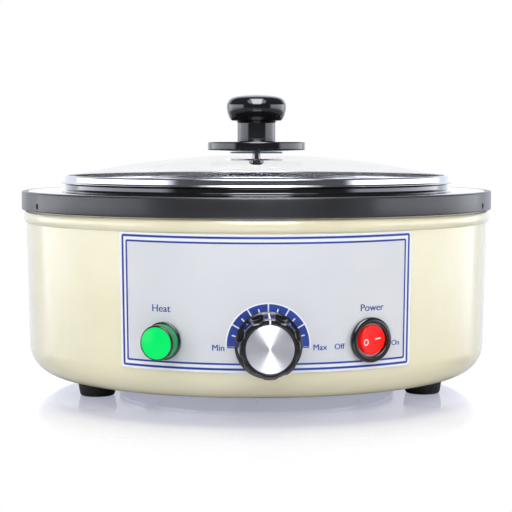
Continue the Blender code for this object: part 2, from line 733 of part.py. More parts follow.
def build_trim(bath):
    """Black trim ring, its three recessed screws and the gasket on its ledge."""
    low = BEAD_TOP_Z + RING_BEAD_CLEARANCE
    profile = [
        (RING_LAND_RADIUS, DECK_Z),
        (RING_RADIUS - RING_EDGE, DECK_Z),
        (RING_RADIUS, DECK_Z - RING_EDGE),
        (RING_RADIUS, low + RING_EDGE),
        (RING_RADIUS - RING_EDGE, low),
        (RING_INNER_RADIUS, low),
        (RING_INNER_RADIUS, LEDGE_LOW_Z),
        (LEDGE_INNER_RADIUS, LEDGE_LOW_Z),
        (LEDGE_INNER_RADIUS, LEDGE_TOP_Z),
        (RING_LAND_RADIUS, LEDGE_TOP_Z),
    ]
    ring = turned("trim_ring", profile, LARGE_STEPS, "black_trim", bath, closed=True)
    seat_radius = RING_INNER_RADIUS + TRIM_SCREW_SEAT
    seats = {
        f"trim_screw_{side}": facing_out(azimuth, seat_radius, TRIM_SCREW_Z)
        for side, azimuth in TRIM_SCREW_AZIMUTHS.items()
    }
    head_room = TRIM_SCREW_HEAD_RADIUS + SEAT_GAP
    head_bit = turned(
        "trim_head_bit",
        rod(head_room, 0, RING_SKIRT + OVERRUN),
        TINY_STEPS,
        None,
        bath,
    )
    shank_room = TRIM_SCREW_RADIUS + SCREW_CLEARANCE
    cut(
        ring,
        cutter_pattern("trim_head_holes", head_bit, seats.values()),
        drill("trim_shank_holes", shank_room, TRIM_SCREW_SEAT, seats.values(), bath),
    )
    shank = SEAT_GAP - RING_NECK_CLEARANCE - TRIM_SCREW_SEAT - SHELL_WALL - TRIM_SCREW_REACH
    head_top = SEAT_GAP + TRIM_SCREW_HEAD_HEIGHT
    trim_screw = turned(
        "trim_screw",
        [
            (0, head_top),
            (TRIM_SCREW_HEAD_RADIUS, head_top),
            (TRIM_SCREW_HEAD_RADIUS, SEAT_GAP),
            (TRIM_SCREW_RADIUS, SEAT_GAP),
            (TRIM_SCREW_RADIUS, shank),
            (0, shank),
        ],
        TINY_STEPS,
        "plain_steel",
        bath,
    )
    copies(trim_screw, seats)
    gasket = tube(
        RING_LAND_RADIUS - GASKET_INSET,
        LEDGE_INNER_RADIUS + GASKET_INSET,
        GASKET_LOW_Z,
        GASKET_TOP_Z,
    )
    turned("deck_gasket", gasket, LARGE_STEPS, "silicone", bath, closed=True)


# Bath pot and its heater


def build_pot(bath):
    """Black bath pot and the insulation sleeve on its wall."""
    corner = (POT_FLOOR_RADIUS - POT_CORNER_RADIUS, POT_FLOOR_Z + POT_CORNER_RADIUS)
    outer_corner = POT_CORNER_RADIUS + POT_WALL
    thread_radius = BOLT_RADIUS + SCREW_CLEARANCE
    profile = [
        (0, POT_FLOOR_Z),
        *arc(corner, POT_CORNER_RADIUS, -math.pi / 2, 0, POT_CORNER_POINTS),
        (MOUTH_RADIUS, POT_RIM_Z - POT_RIM_ROUND),
        (MOUTH_RADIUS + POT_RIM_ROUND, POT_RIM_Z),
        (POT_RIM_RADIUS - POT_RIM_ROUND, POT_RIM_Z),
        (POT_RIM_RADIUS, POT_RIM_Z - POT_RIM_ROUND),
        (POT_RIM_RADIUS, RIM_FOOT_Z + POT_RIM_ROUND),
        (POT_RIM_RADIUS + POT_RIM_ROUND, RIM_FOOT_Z),
        (POT_FLANGE_RADIUS, DECK_Z),
        (POT_FLANGE_RADIUS, FLANGE_LOW_Z),
        (pot_wall_radius(FLANGE_LOW_Z), FLANGE_LOW_Z),
        *arc(corner, outer_corner, 0, -math.pi / 2, POT_CORNER_POINTS),
        (POT_BOSS_RADIUS, POT_UNDER_Z),
        (POT_BOSS_RADIUS, POT_BOSS_Z),
        (thread_radius, POT_BOSS_Z),
        (thread_radius, POT_BOSS_Z + POT_THREAD_DEPTH),
        (0, POT_BOSS_Z + POT_THREAD_DEPTH),
    ]
    turned("bath_pot", profile, LARGE_STEPS, "black_anodised", bath)
    top = FLANGE_LOW_Z - SLEEVE_TOP_DROP
    low = top - SLEEVE_HEIGHT
    inner = [(pot_wall_radius(z) + SEAT_GAP, z) for z in (low, top)]
    outer = [(radius + SLEEVE_THICKNESS, z) for radius, z in reversed(inner)]
    turned("insulation_sleeve", inner + outer, LARGE_STEPS, "glass_wool", bath, closed=True)


def element_leg(side):
    """Centre line of one bent end of the heater, from its ring outwards."""
    azimuth = side * ELEMENT_END_AZIMUTH
    outward = polar(azimuth, 1, 0)
    across = polar(azimuth + math.pi / 2, -side, 0)
    centre = polar(azimuth, ELEMENT_CIRCLE_RADIUS + ELEMENT_BEND_RADIUS, ELEMENT_Z)
    bend = [
        centre + across * x - outward * y
        for x, y in arc((0, 0), ELEMENT_BEND_RADIUS, math.pi / 2, 0, ELEMENT_BEND_POINTS)
    ]
    return [*bend, bend[-1] + outward * ELEMENT_LEG_LENGTH], outward


def build_heater(bath):
    """Tubular element under the pot, its ends, clamp plate, bolt and cutout."""
    left, left_out = element_leg(-1)
    right, right_out = element_leg(1)
    sweep = 2 * (math.pi - ELEMENT_END_AZIMUTH)
    ring = [
        polar(ELEMENT_END_AZIMUTH + sweep * i / ELEMENT_ARC_POINTS, ELEMENT_CIRCLE_RADIUS, ELEMENT_Z)
        for i in range(1, ELEMENT_ARC_POINTS)
    ]
    line = [*reversed(right), *ring, *left]
    wire("heating_element", line, ELEMENT_RADIUS, 2, "plain_steel", bath)
    end = turned(
        "element_end",
        [
            (0, SEAT_GAP + END_BEAD_LENGTH + STUD_LENGTH),
            (STUD_RADIUS, SEAT_GAP + END_BEAD_LENGTH + STUD_LENGTH),
            (STUD_RADIUS, SEAT_GAP + END_BEAD_LENGTH),
            (END_BEAD_RADIUS, SEAT_GAP + END_BEAD_LENGTH),
            (END_BEAD_RADIUS, SEAT_GAP),
            (0, SEAT_GAP),
        ],
        TINY_STEPS,
        "ceramic",
        bath,
    )
    legs = {"left": (left[-1], left_out), "right": (right[-1], right_out)}
    places = {
        f"element_end_{side}": Matrix.Translation(tip) @ outward.to_track_quat("Z", "Y").to_matrix().to_4x4()
        for side, (tip, outward) in legs.items()
    }
    copies(end, places)
    bolt_room = BOLT_RADIUS + SCREW_CLEARANCE
    lip_inner = CLAMP_RADIUS - CLAMP_THICKNESS
    turned(
        "clamp_plate",
        [
            (bolt_room, CLAMP_TOP_Z),
            (CLAMP_RADIUS, CLAMP_TOP_Z),
            (CLAMP_RADIUS, CLAMP_TOP_Z - CLAMP_LIP),
            (lip_inner, CLAMP_TOP_Z - CLAMP_LIP),
            (lip_inner, CLAMP_LOW_Z),
            (bolt_room, CLAMP_LOW_Z),
        ],
        LARGE_STEPS,
        "galvanised",
        bath,
        closed=True,
    )
    bolt_top = POT_BOSS_Z + BOLT_ENGAGEMENT
    head_top = CLAMP_LOW_Z - SEAT_GAP
    bolt_head = BOLT_HEAD_ACROSS / 2
    turned(
        "clamp_bolt",
        [
            (0, bolt_top),
            (BOLT_RADIUS, bolt_top),
            (BOLT_RADIUS, head_top),
            (bolt_head, head_top),
            (bolt_head, head_top - BOLT_HEAD_HEIGHT),
            (0, head_top - BOLT_HEAD_HEIGHT),
        ],
        TINY_STEPS,
        "plain_steel",
        bath,
    )
    body_radius = CUTOUT_RADIUS - CUTOUT_RIM
    rim_low = CUTOUT_HEIGHT - CUTOUT_RIM
    turned(
        "thermal_cutout",
        [
            (0, CUTOUT_HEIGHT),
            (CUTOUT_RADIUS, CUTOUT_HEIGHT),
            (CUTOUT_RADIUS, rim_low),
            (body_radius, rim_low),
            (body_radius, 0),
            (0, 0),
        ],
        SMALL_STEPS,
        "black_nylon",
        bath,
        standing(CUTOUT_AZIMUTH, CUTOUT_CIRCLE_RADIUS, CUTOUT_LOW_Z),
    )
    return legs


# Lid


def build_lid(bath):
    """Glass dome in its steel band."""
    lid = add_frame("lid_frame", bath)
    span = GLASS_RADIUS - GLASS_HOLE_RADIUS
    radii = [GLASS_HOLE_RADIUS + span * i / (GLASS_ARC_POINTS - 1) for i in range(GLASS_ARC_POINTS)]
    outer = [(r, GLASS_CROWN_Z - glass_sag(r)) for r in radii]
    inner = [(r, z - GLASS_THICKNESS) for r, z in reversed(outer)]
    turned("lid_glass", outer + inner, LARGE_STEPS, "clear_glass", lid, closed=True)
    skirt_radius = MOUTH_RADIUS - BAND_SKIRT_CLEARANCE
    skirt_low = BAND_LOW_Z - BAND_SKIRT_DEPTH
    lip_radius = CHANNEL_RADIUS - BAND_LIP_WIDTH
    lip_low = GLASS_CROWN_Z - glass_sag(lip_radius) + SEAT_GAP
    lip_top = lip_low + BAND_SHEET
    band = [
        (lip_radius, lip_top),
        (CHANNEL_RADIUS, lip_top),
        (BAND_RADIUS, lip_low),
        (BAND_RADIUS, CHANNEL_Z),
        (BAND_RADIUS + BAND_FLANGE_REACH, CHANNEL_Z),
        (BAND_RADIUS + BAND_FLANGE_REACH, BAND_LOW_Z),
        (skirt_radius, BAND_LOW_Z),
        (skirt_radius, skirt_low),
        (skirt_radius - BAND_SHEET, skirt_low),
        (skirt_radius - BAND_SHEET, CHANNEL_Z),
        (CHANNEL_RADIUS, CHANNEL_Z),
        (CHANNEL_RADIUS, lip_low),
        (lip_radius, lip_low),
    ]
    turned("lid_band", band, LARGE_STEPS, "polished_steel", lid, closed=True)
    build_lid_knob(lid)


def build_lid_knob(lid):
    """Washers, heat guard and waisted knob, clamped through the glass by one screw."""
    bore = LID_SCREW_RADIUS + SCREW_CLEARANCE
    upper_low = GLASS_CROWN_Z - glass_sag(GLASS_HOLE_RADIUS) + SEAT_GAP
    upper_top = upper_low + LID_WASHER_THICKNESS
    lower_top = GLASS_CROWN_Z - GLASS_THICKNESS - glass_sag(LID_WASHER_RADIUS) - SEAT_GAP
    lower_low = lower_top - LID_WASHER_THICKNESS
    upper = tube(LID_WASHER_RADIUS, bore, upper_low, upper_top)
    lower = tube(LID_WASHER_RADIUS, bore, lower_low, lower_top)
    turned("lid_washer_outer", upper, SMALL_STEPS, "silicone", lid, closed=True)
    turned("lid_washer_inner", lower, SMALL_STEPS, "polished_steel", lid, closed=True)
    guard_low = upper_top + SEAT_GAP
    edge_low = guard_low + GUARD_UNDERCUT
    edge_top = edge_low + GUARD_EDGE_THICKNESS
    collar_top = edge_top + GUARD_COLLAR_HEIGHT
    guard = [
        (bore, collar_top),
        (GUARD_BOSS_RADIUS, collar_top),
        (GUARD_BOSS_RADIUS, edge_top),
        (GUARD_RADIUS - GUARD_EDGE_ROUND, edge_top),
        (GUARD_RADIUS, edge_top - GUARD_EDGE_ROUND),
        (GUARD_RADIUS, edge_low + GUARD_EDGE_ROUND),
        (GUARD_RADIUS - GUARD_EDGE_ROUND, edge_low),
        (GUARD_BOSS_RADIUS, guard_low),
        (bore, guard_low),
    ]
    turned("knob_guard", guard, MEDIUM_STEPS, "black_phenolic", lid, closed=True)
    neck_low = collar_top + SEAT_GAP
    cap_low = neck_low + KNOB_NECK_HEIGHT
    crease = cap_low + KNOB_CAP_HEIGHT
    flare = [
        (KNOB_CAP_BASE_RADIUS + KNOB_CAP_FLARE * reach, cap_low + KNOB_CAP_HEIGHT * height)
        for reach, height in zip(KNOB_FLARE_REACH_SHARES, KNOB_FLARE_HEIGHT_SHARES)
    ]
    crown = [
        ((KNOB_CAP_BASE_RADIUS + KNOB_CAP_FLARE) * radius, crease + KNOB_CROWN_HEIGHT * height)
        for radius, height in zip(KNOB_CROWN_RADIUS_SHARES, KNOB_CROWN_HEIGHT_SHARES)
    ]
    knob = [
        (0, crease + KNOB_CROWN_HEIGHT),
        *reversed(crown),
        *reversed(flare),
        (KNOB_CAP_BASE_RADIUS, cap_low),
        (KNOB_NECK_RADIUS + KNOB_NECK_FILLET, cap_low),
        (KNOB_NECK_RADIUS, cap_low - KNOB_NECK_FILLET),
        (KNOB_NECK_RADIUS, neck_low),
        (bore, neck_low),
        (bore, neck_low + LID_SCREW_ENGAGEMENT),
        (0, neck_low + LID_SCREW_ENGAGEMENT),
    ]
    turned("lid_knob", knob, MEDIUM_STEPS, "black_phenolic", lid)
    tip = neck_low + LID_SCREW_ENGAGEMENT - SEAT_GAP
    head_top = lower_low - SEAT_GAP
    head_low = head_top - LID_SCREW_HEAD_HEIGHT
    lid_screw = [
        (0, tip),
        (LID_SCREW_RADIUS, tip),
        (LID_SCREW_RADIUS, head_top),
        (LID_SCREW_HEAD_RADIUS, head_top),
        (LID_SCREW_HEAD_RADIUS, head_top - LID_SCREW_HEAD_HEIGHT / 2),
        (LID_SCREW_RADIUS, head_low),
        (0, head_low),
    ]
    turned("lid_screw", lid_screw, TINY_STEPS, "plain_steel", lid)


# Control plate, lamp, thermostat, dial and switch


def build_panel_holes(bath):
    """Cutters for the lamp, dial and switch holes in the plate and the shell."""
    holes = []
    for name, azimuth, height, radius in (
        ("lamp_hole", LAMP_AZIMUTH, LAMP_Z, LAMP_BARREL_RADIUS),
        ("dial_hole", 0, DIAL_Z, BUSH_RADIUS),
        ("switch_hole", SWITCH_AZIMUTH, SWITCH_Z, SWITCH_BARREL_RADIUS),
    ):
        room = radius + PANEL_HOLE_CLEARANCE
        depth = seat_behind_plate(room)
        holes.append(drill(name, room, depth, [on_plate(azimuth, height)], bath, MEDIUM_STEPS))
    return holes


def build_plate(bath, panel_holes):
    """Control plate: a thin sheet that follows the shell's curve and taper."""
    bm = bmesh.new()
    ends = [
        bm.verts.new((shell_radius(z) + SEAT_GAP, 0, z))
        for z in (PLATE_LOW_Z + PLATE_HEIGHT, PLATE_LOW_Z)
    ]
    bm.edges.new(ends)
    turn = Matrix.Rotation(-math.pi / 2 - PLATE_HALF_ANGLE, 4, "Z")
    plate = add_bmesh("control_plate", bm, "plate_grey", bath, turn)
    revolve(plate, PLATE_STEPS, 2 * PLATE_HALF_ANGLE)
    sheet = plate.modifiers.new("sheet", "SOLIDIFY")
    sheet.thickness = PLATE_THICKNESS
    sheet.offset = 1
    cut(plate, *panel_holes)


def build_lamp(bath):
    """Indicator lamp: flanged housing, lens cap, bulb and back nut."""
    frame = add_frame("lamp_frame", bath, on_plate(LAMP_AZIMUTH, LAMP_Z))
    flange_top = SEAT_GAP + LAMP_FLANGE_HEIGHT
    floor = LAMP_FLOOR_THICKNESS - LAMP_BARREL_DEPTH
    housing = [
        (0, floor),
        (LAMP_BORE_RADIUS, floor),
        (LAMP_BORE_RADIUS, flange_top),
        (LAMP_FLANGE_RADIUS - LAMP_FLANGE_ROUND, flange_top),
        (LAMP_FLANGE_RADIUS, flange_top - LAMP_FLANGE_ROUND),
        (LAMP_FLANGE_RADIUS, SEAT_GAP),
        (LAMP_BARREL_RADIUS, SEAT_GAP),
        (LAMP_BARREL_RADIUS, -LAMP_BARREL_DEPTH),
        (0, -LAMP_BARREL_DEPTH),
    ]
    turned("lamp_housing", housing, MEDIUM_STEPS, "black_nylon", frame)
    lens_low = flange_top + SEAT_GAP
    lens_top = lens_low + LENS_HEIGHT
    cavity = LENS_RADIUS - LENS_WALL
    lens = [
        (0, lens_top),
        (LENS_RADIUS - LENS_ROUND, lens_top),
        (LENS_RADIUS, lens_top - LENS_ROUND),
        (LENS_RADIUS, lens_low),
        (cavity, lens_low),
        (cavity, lens_top - LENS_WALL),
        (0, lens_top - LENS_WALL),
    ]
    turned("lamp_lens", lens, MEDIUM_STEPS, "green_lens", frame)
    bulb_low = floor + SEAT_GAP
    foot_top = bulb_low + BULB_FOOT_HEIGHT
    bulb_top = foot_top + BULB_HEIGHT
    bulb = [
        (0, bulb_top),
        (BULB_RADIUS / 2, bulb_top - BULB_RADIUS / 4),
        (BULB_RADIUS, bulb_top - BULB_RADIUS),
        (BULB_RADIUS, foot_top),
        (BULB_FOOT_RADIUS, foot_top),
        (BULB_FOOT_RADIUS, bulb_low),
        (0, bulb_low),
    ]
    turned("lamp_bulb", bulb, TINY_STEPS, "bulb_glass", frame)
    top = -seat_behind_plate(LAMP_NUT_ACROSS / math.sqrt(3))
    bore = LAMP_BARREL_RADIUS + SEAT_GAP
    nut("lamp_nut", LAMP_NUT_ACROSS, bore, top - LAMP_NUT_THICKNESS, top, "black_nylon", frame)


def build_thermostat(bath):
    """Thermostat, its bush and nut, and the dial that turns with the shaft."""
    frame = add_frame("dial_axis", bath, on_plate(0, DIAL_Z))
    front = -seat_behind_plate(THERMOSTAT_WIDTH / 2)
    middle = front - THERMOSTAT_DEPTH / 2
    size = (THERMOSTAT_WIDTH, THERMOSTAT_HEIGHT, THERMOSTAT_DEPTH)
    shaft_room = SHAFT_RADIUS + SHAFT_CLEARANCE
    thermostat = block(
        "thermostat",
        size,
        THERMOSTAT_EDGE,
        "black_nylon",
        frame,
        Matrix.Translation((0, 0, middle)),
    )
    seat = Matrix.Translation((0, 0, front))
    cut(thermostat, drill("shaft_hole", shaft_room, SHAFT_ENTRY - OVERRUN, [seat], frame, SMALL_STEPS))
    bush = tube(BUSH_RADIUS, shaft_room, front + SEAT_GAP, BUSH_PROUD)
    turned("thermostat_bush", bush, SMALL_STEPS, "brass", frame, closed=True)
    nut_top = SEAT_GAP + BUSH_NUT_THICKNESS
    nut("bush_nut", BUSH_NUT_ACROSS, BUSH_RADIUS + SEAT_GAP, SEAT_GAP, nut_top, "brass", frame)
    bore_top = DIAL_STANDOFF + DIAL_BORE_DEPTH
    shaft = rod(SHAFT_RADIUS, front - SHAFT_ENTRY + SEAT_GAP, bore_top - SEAT_GAP)
    turned("dial_shaft", shaft, SMALL_STEPS, "plain_steel", frame)
    build_dial(frame, shaft_room, bore_top)


def build_dial(frame, shaft_room, bore_top):
    """Fluted dial with a turned aluminium insert in its face."""
    skirt_top = DIAL_STANDOFF + DIAL_SKIRT_HEIGHT
    face = DIAL_STANDOFF + DIAL_HEIGHT
    recess_top = DIAL_STANDOFF + DIAL_RECESS_DEPTH
    seat_radius = INSERT_RADIUS + SEAT_GAP
    seat = face - INSERT_THICKNESS - SEAT_GAP
    dial = [
        (0, seat),
        (seat_radius, seat),
        (seat_radius, face),
        (DIAL_FACE_RADIUS - DIAL_FACE_ROUND, face),
        (DIAL_FACE_RADIUS, face - DIAL_FACE_ROUND),
        (DIAL_GRIP_RADIUS, skirt_top),
        (DIAL_SKIRT_RADIUS, skirt_top),
        (DIAL_SKIRT_RADIUS, DIAL_STANDOFF),
        (DIAL_RECESS_RADIUS, DIAL_STANDOFF),
        (DIAL_RECESS_RADIUS, recess_top),
        (shaft_room, recess_top),
        (shaft_room, bore_top),
        (0, bore_top),
    ]
    knob = turned("dial_knob", dial, MEDIUM_STEPS, "black_phenolic", frame)
    flute = turned(
        "flute_bit",
        rod(DIAL_FLUTE_RADIUS, skirt_top, face + OVERRUN),
        SMALL_STEPS,
        None,
        frame,
    )
    distance = DIAL_GRIP_RADIUS + DIAL_FLUTE_RADIUS - DIAL_FLUTE_DEPTH
    pitch = 2 * math.pi / DIAL_FLUTES
    places = [
        Matrix.Rotation(pitch * (i + 0.5), 4, "Z") @ Matrix.Translation((0, distance, 0))
        for i in range(DIAL_FLUTES)
    ]
    cut(knob, cutter_pattern("dial_flutes", flute, places))
    insert = [
        (0, face + INSERT_CROWN),
        (INSERT_RADIUS, face),
        (INSERT_RADIUS, seat + SEAT_GAP),
        (0, seat + SEAT_GAP),
    ]
    turned("dial_insert", insert, MEDIUM_STEPS, "spun_aluminium", frame)


def build_switch(bath):
    """Round rocker switch: housing, terminals, pin and the rocker, resting at ON."""
    frame = add_frame("switch_frame", bath, on_plate(SWITCH_AZIMUTH, SWITCH_Z))
    top = SEAT_GAP + BEZEL_HEIGHT
    barrel_low = -WELL_DEPTH - SWITCH_FLOOR_THICKNESS
    housing = [
        (0, -WELL_DEPTH),
        (WELL_RADIUS, -WELL_DEPTH),
        (WELL_RADIUS, top - WELL_CHAMFER),
        (WELL_RADIUS + WELL_CHAMFER, top),
        (BEZEL_RADIUS - BEZEL_ROUND, top),
        (BEZEL_RADIUS - BEZEL_ROUND / 4, top - BEZEL_ROUND / 2),
        (BEZEL_RADIUS, SEAT_GAP),
        (SWITCH_BARREL_RADIUS, SEAT_GAP),
        (SWITCH_BARREL_RADIUS, barrel_low),
        (0, barrel_low),
    ]
    switch = turned("switch_housing", housing, MEDIUM_STEPS, "black_nylon", frame)
    pin_half = WELL_RADIUS + PIN_ENGAGEMENT
    pin_room = PIN_RADIUS + PIN_CLEARANCE
    pivot = Matrix.Translation((0, 0, -ROCKER_PIVOT_DEPTH)) @ Matrix.Rotation(math.pi / 2, 4, "X")
    pocket = turned(
        "pin_pockets",
        rod(pin_room, -pin_half - PIN_CLEARANCE, pin_half + PIN_CLEARANCE),
        TINY_STEPS,
        None,
        frame,
        pivot,
    )
    cut(switch, pocket)
    turned("rocker_pin", rod(PIN_RADIUS, -pin_half, pin_half), TINY_STEPS, "plain_steel", frame, pivot)
    tab = block("tab", (TAB_THICKNESS, TAB_WIDTH, TAB_LENGTH), 0, "brass", frame)
    tab_middle = barrel_low - SEAT_GAP - TAB_LENGTH / 2
    places = {
        "switch_tab_load": Matrix.Translation((-TAB_SPREAD, 0, tab_middle)),
        "switch_tab_supply": Matrix.Translation((TAB_SPREAD, 0, tab_middle)),
    }
    copies(tab, places)
    tilt = Matrix.Translation((0, 0, -ROCKER_PIVOT_DEPTH)) @ Matrix.Rotation(ROCKER_TILT, 4, "Y")
    axis = add_frame("rocker_axis", frame, tilt)
    high = ROCKER_PROUD + ROCKER_PIVOT_DEPTH
    low = ROCKER_PIVOT_DEPTH - ROCKER_SKIRT
    rocker = turned("rocker", rod(ROCKER_RADIUS, low, high), MEDIUM_STEPS, "red_rocker", axis)
    hollow_radius = (ROCKER_RADIUS**2 + ROCKER_HOLLOW**2) / (2 * ROCKER_HOLLOW)
    lying = Matrix.Rotation(math.pi / 2, 4, "X")
    hollow = turned(
        "rocker_hollow",
        rod(hollow_radius, -ROCKER_RADIUS - OVERRUN, ROCKER_RADIUS + OVERRUN),
        LARGE_STEPS,
        None,
        axis,
        Matrix.Translation((0, 0, high - ROCKER_HOLLOW + hollow_radius)) @ lying,
    )
    bore_half = ROCKER_RADIUS + OVERRUN
    bore = turned("rocker_bore", rod(pin_room, -bore_half, bore_half), TINY_STEPS, None, axis, lying)
    cut(rocker, hollow, bore)


# Sensor, gland, terminal block and leads


def behind_plate(azimuth, height, x, y, depth):
    """A point that deep behind the control plate's face, beside a control's axis."""
    return on_plate(azimuth, height) @ Vector((x, y, -depth))


def thermostat_back():
    """Depth of the thermostat's back behind the control plate's face."""
    return seat_behind_plate(THERMOSTAT_WIDTH / 2) + THERMOSTAT_DEPTH


def build_sensor(bath):
    """Sensor bulb under the pot's floor and its capillary to the thermostat."""
    length = SENSOR_END_RADIUS - SENSOR_START_RADIUS
    sensor = [
        (0, 0),
        (SENSOR_RADIUS - SENSOR_ROUND, 0),
        (SENSOR_RADIUS, -SENSOR_ROUND),
        (SENSOR_RADIUS, SENSOR_ROUND - length),
        (SENSOR_RADIUS - SENSOR_ROUND, -length),
        (0, -length),
    ]
    place = facing_out(0, SENSOR_END_RADIUS, SENSOR_Z)
    turned("sensor_bulb", sensor, TINY_STEPS, "copper", bath, place)
    start = polar(0, SENSOR_END_RADIUS + SEAT_GAP, SENSOR_Z)
    end = behind_plate(0, DIAL_Z, -THERMOSTAT_WIDTH / 4, 0, thermostat_back() + SEAT_GAP)
    points = [start]
    for across, down in zip(CAPILLARY_INWARD_SHARES, CAPILLARY_DOWN_SHARES):
        point = start.lerp(end, across)
        point.z = start.z + (end.z - start.z) * down
        points.append(point)
    line = smooth_line([*points, end], LEAD_POINTS_PER_SPAN)
    wire("capillary", line, CAPILLARY_RADIUS, 1, "copper", bath)


def build_gland(bath):
    """Cord gland with its bore, through the low rear wall, and its inner nut."""
    frame = add_frame("gland_frame", bath, on_shell(math.pi, GLAND_Z))
    top = SEAT_GAP + GLAND_FLANGE_HEIGHT
    gland = [
        (GLAND_BORE_RADIUS, top),
        (GLAND_FLANGE_RADIUS - GLAND_FLANGE_ROUND, top),
        (GLAND_FLANGE_RADIUS, top - GLAND_FLANGE_ROUND),
        (GLAND_FLANGE_RADIUS, SEAT_GAP),
        (GLAND_BARREL_RADIUS, SEAT_GAP),
        (GLAND_BARREL_RADIUS, -GLAND_BARREL_DEPTH),
        (GLAND_BORE_RADIUS, -GLAND_BARREL_DEPTH),
    ]
    turned("cord_gland", gland, SMALL_STEPS, "black_nylon", frame, closed=True)
    high = -seat_behind_shell(GLAND_NUT_ACROSS / math.sqrt(3))
    bore = GLAND_BARREL_RADIUS + SEAT_GAP
    nut("gland_nut", GLAND_NUT_ACROSS, bore, high - GLAND_NUT_THICKNESS, high, "black_nylon", frame)


def build_block(bath):
    """Terminal block screwed down on the shell's floor."""
    low = SHELL_FLOOR_Z + SEAT_GAP
    place = standing(BLOCK_AZIMUTH, BLOCK_CIRCLE_RADIUS, low + BLOCK_HEIGHT / 2)
    size = (BLOCK_WIDTH, BLOCK_DEPTH, BLOCK_HEIGHT)
    terminal_block = block("terminal_block", size, BLOCK_EDGE, "ceramic", bath, place)
    top = low + BLOCK_HEIGHT
    on_top = standing(BLOCK_AZIMUTH, BLOCK_CIRCLE_RADIUS, top)
    room = BLOCK_SCREW_RADIUS + SCREW_CLEARANCE
    cut(terminal_block, drill("block_bore", room, BLOCK_HEIGHT, [on_top], bath))
    tip = -BLOCK_HEIGHT - SEAT_GAP - SHELL_WALL
    head_top = SEAT_GAP + BLOCK_SCREW_HEAD_HEIGHT
    block_screw = [
        (0, head_top),
        (BLOCK_SCREW_HEAD_RADIUS, head_top),
        (BLOCK_SCREW_HEAD_RADIUS, SEAT_GAP),
        (BLOCK_SCREW_RADIUS, SEAT_GAP),
        (BLOCK_SCREW_RADIUS, tip),
        (0, tip),
    ]
    turned("block_screw", block_screw, TINY_STEPS, "plain_steel", bath, on_top)


def fall(start, side, lane_radius):
    """Points that lead a wire from a terminal down to its lane on the shell's floor."""
    azimuth = math.atan2(start.x, -start.y)
    radius = math.hypot(start.x, start.y)
    return [
        polar(
            azimuth + side * LANE_ENTRY * turn,
            radius + (lane_radius - radius) * inward,
            start.z + (LANE_Z - start.z) * down,
        )
        for turn, inward, down in zip(FALL_TURN_SHARES, FALL_INWARD_SHARES, FALL_DOWN_SHARES)
    ]


def lane(radius, start, end):
    """Points along a lane on the shell's floor, without its two ends."""
    count = max(1, round(abs(end - start) / LANE_STEP))
    return [polar(start + (end - start) * i / count, radius, LANE_Z) for i in range(1, count)]


def block_entry(radius, side):
    """Azimuth at which a lane meets one end of the terminal block."""
    reach = math.asin((BLOCK_WIDTH / 2 + LEAD_GAP) / radius)
    return BLOCK_AZIMUTH + side * reach


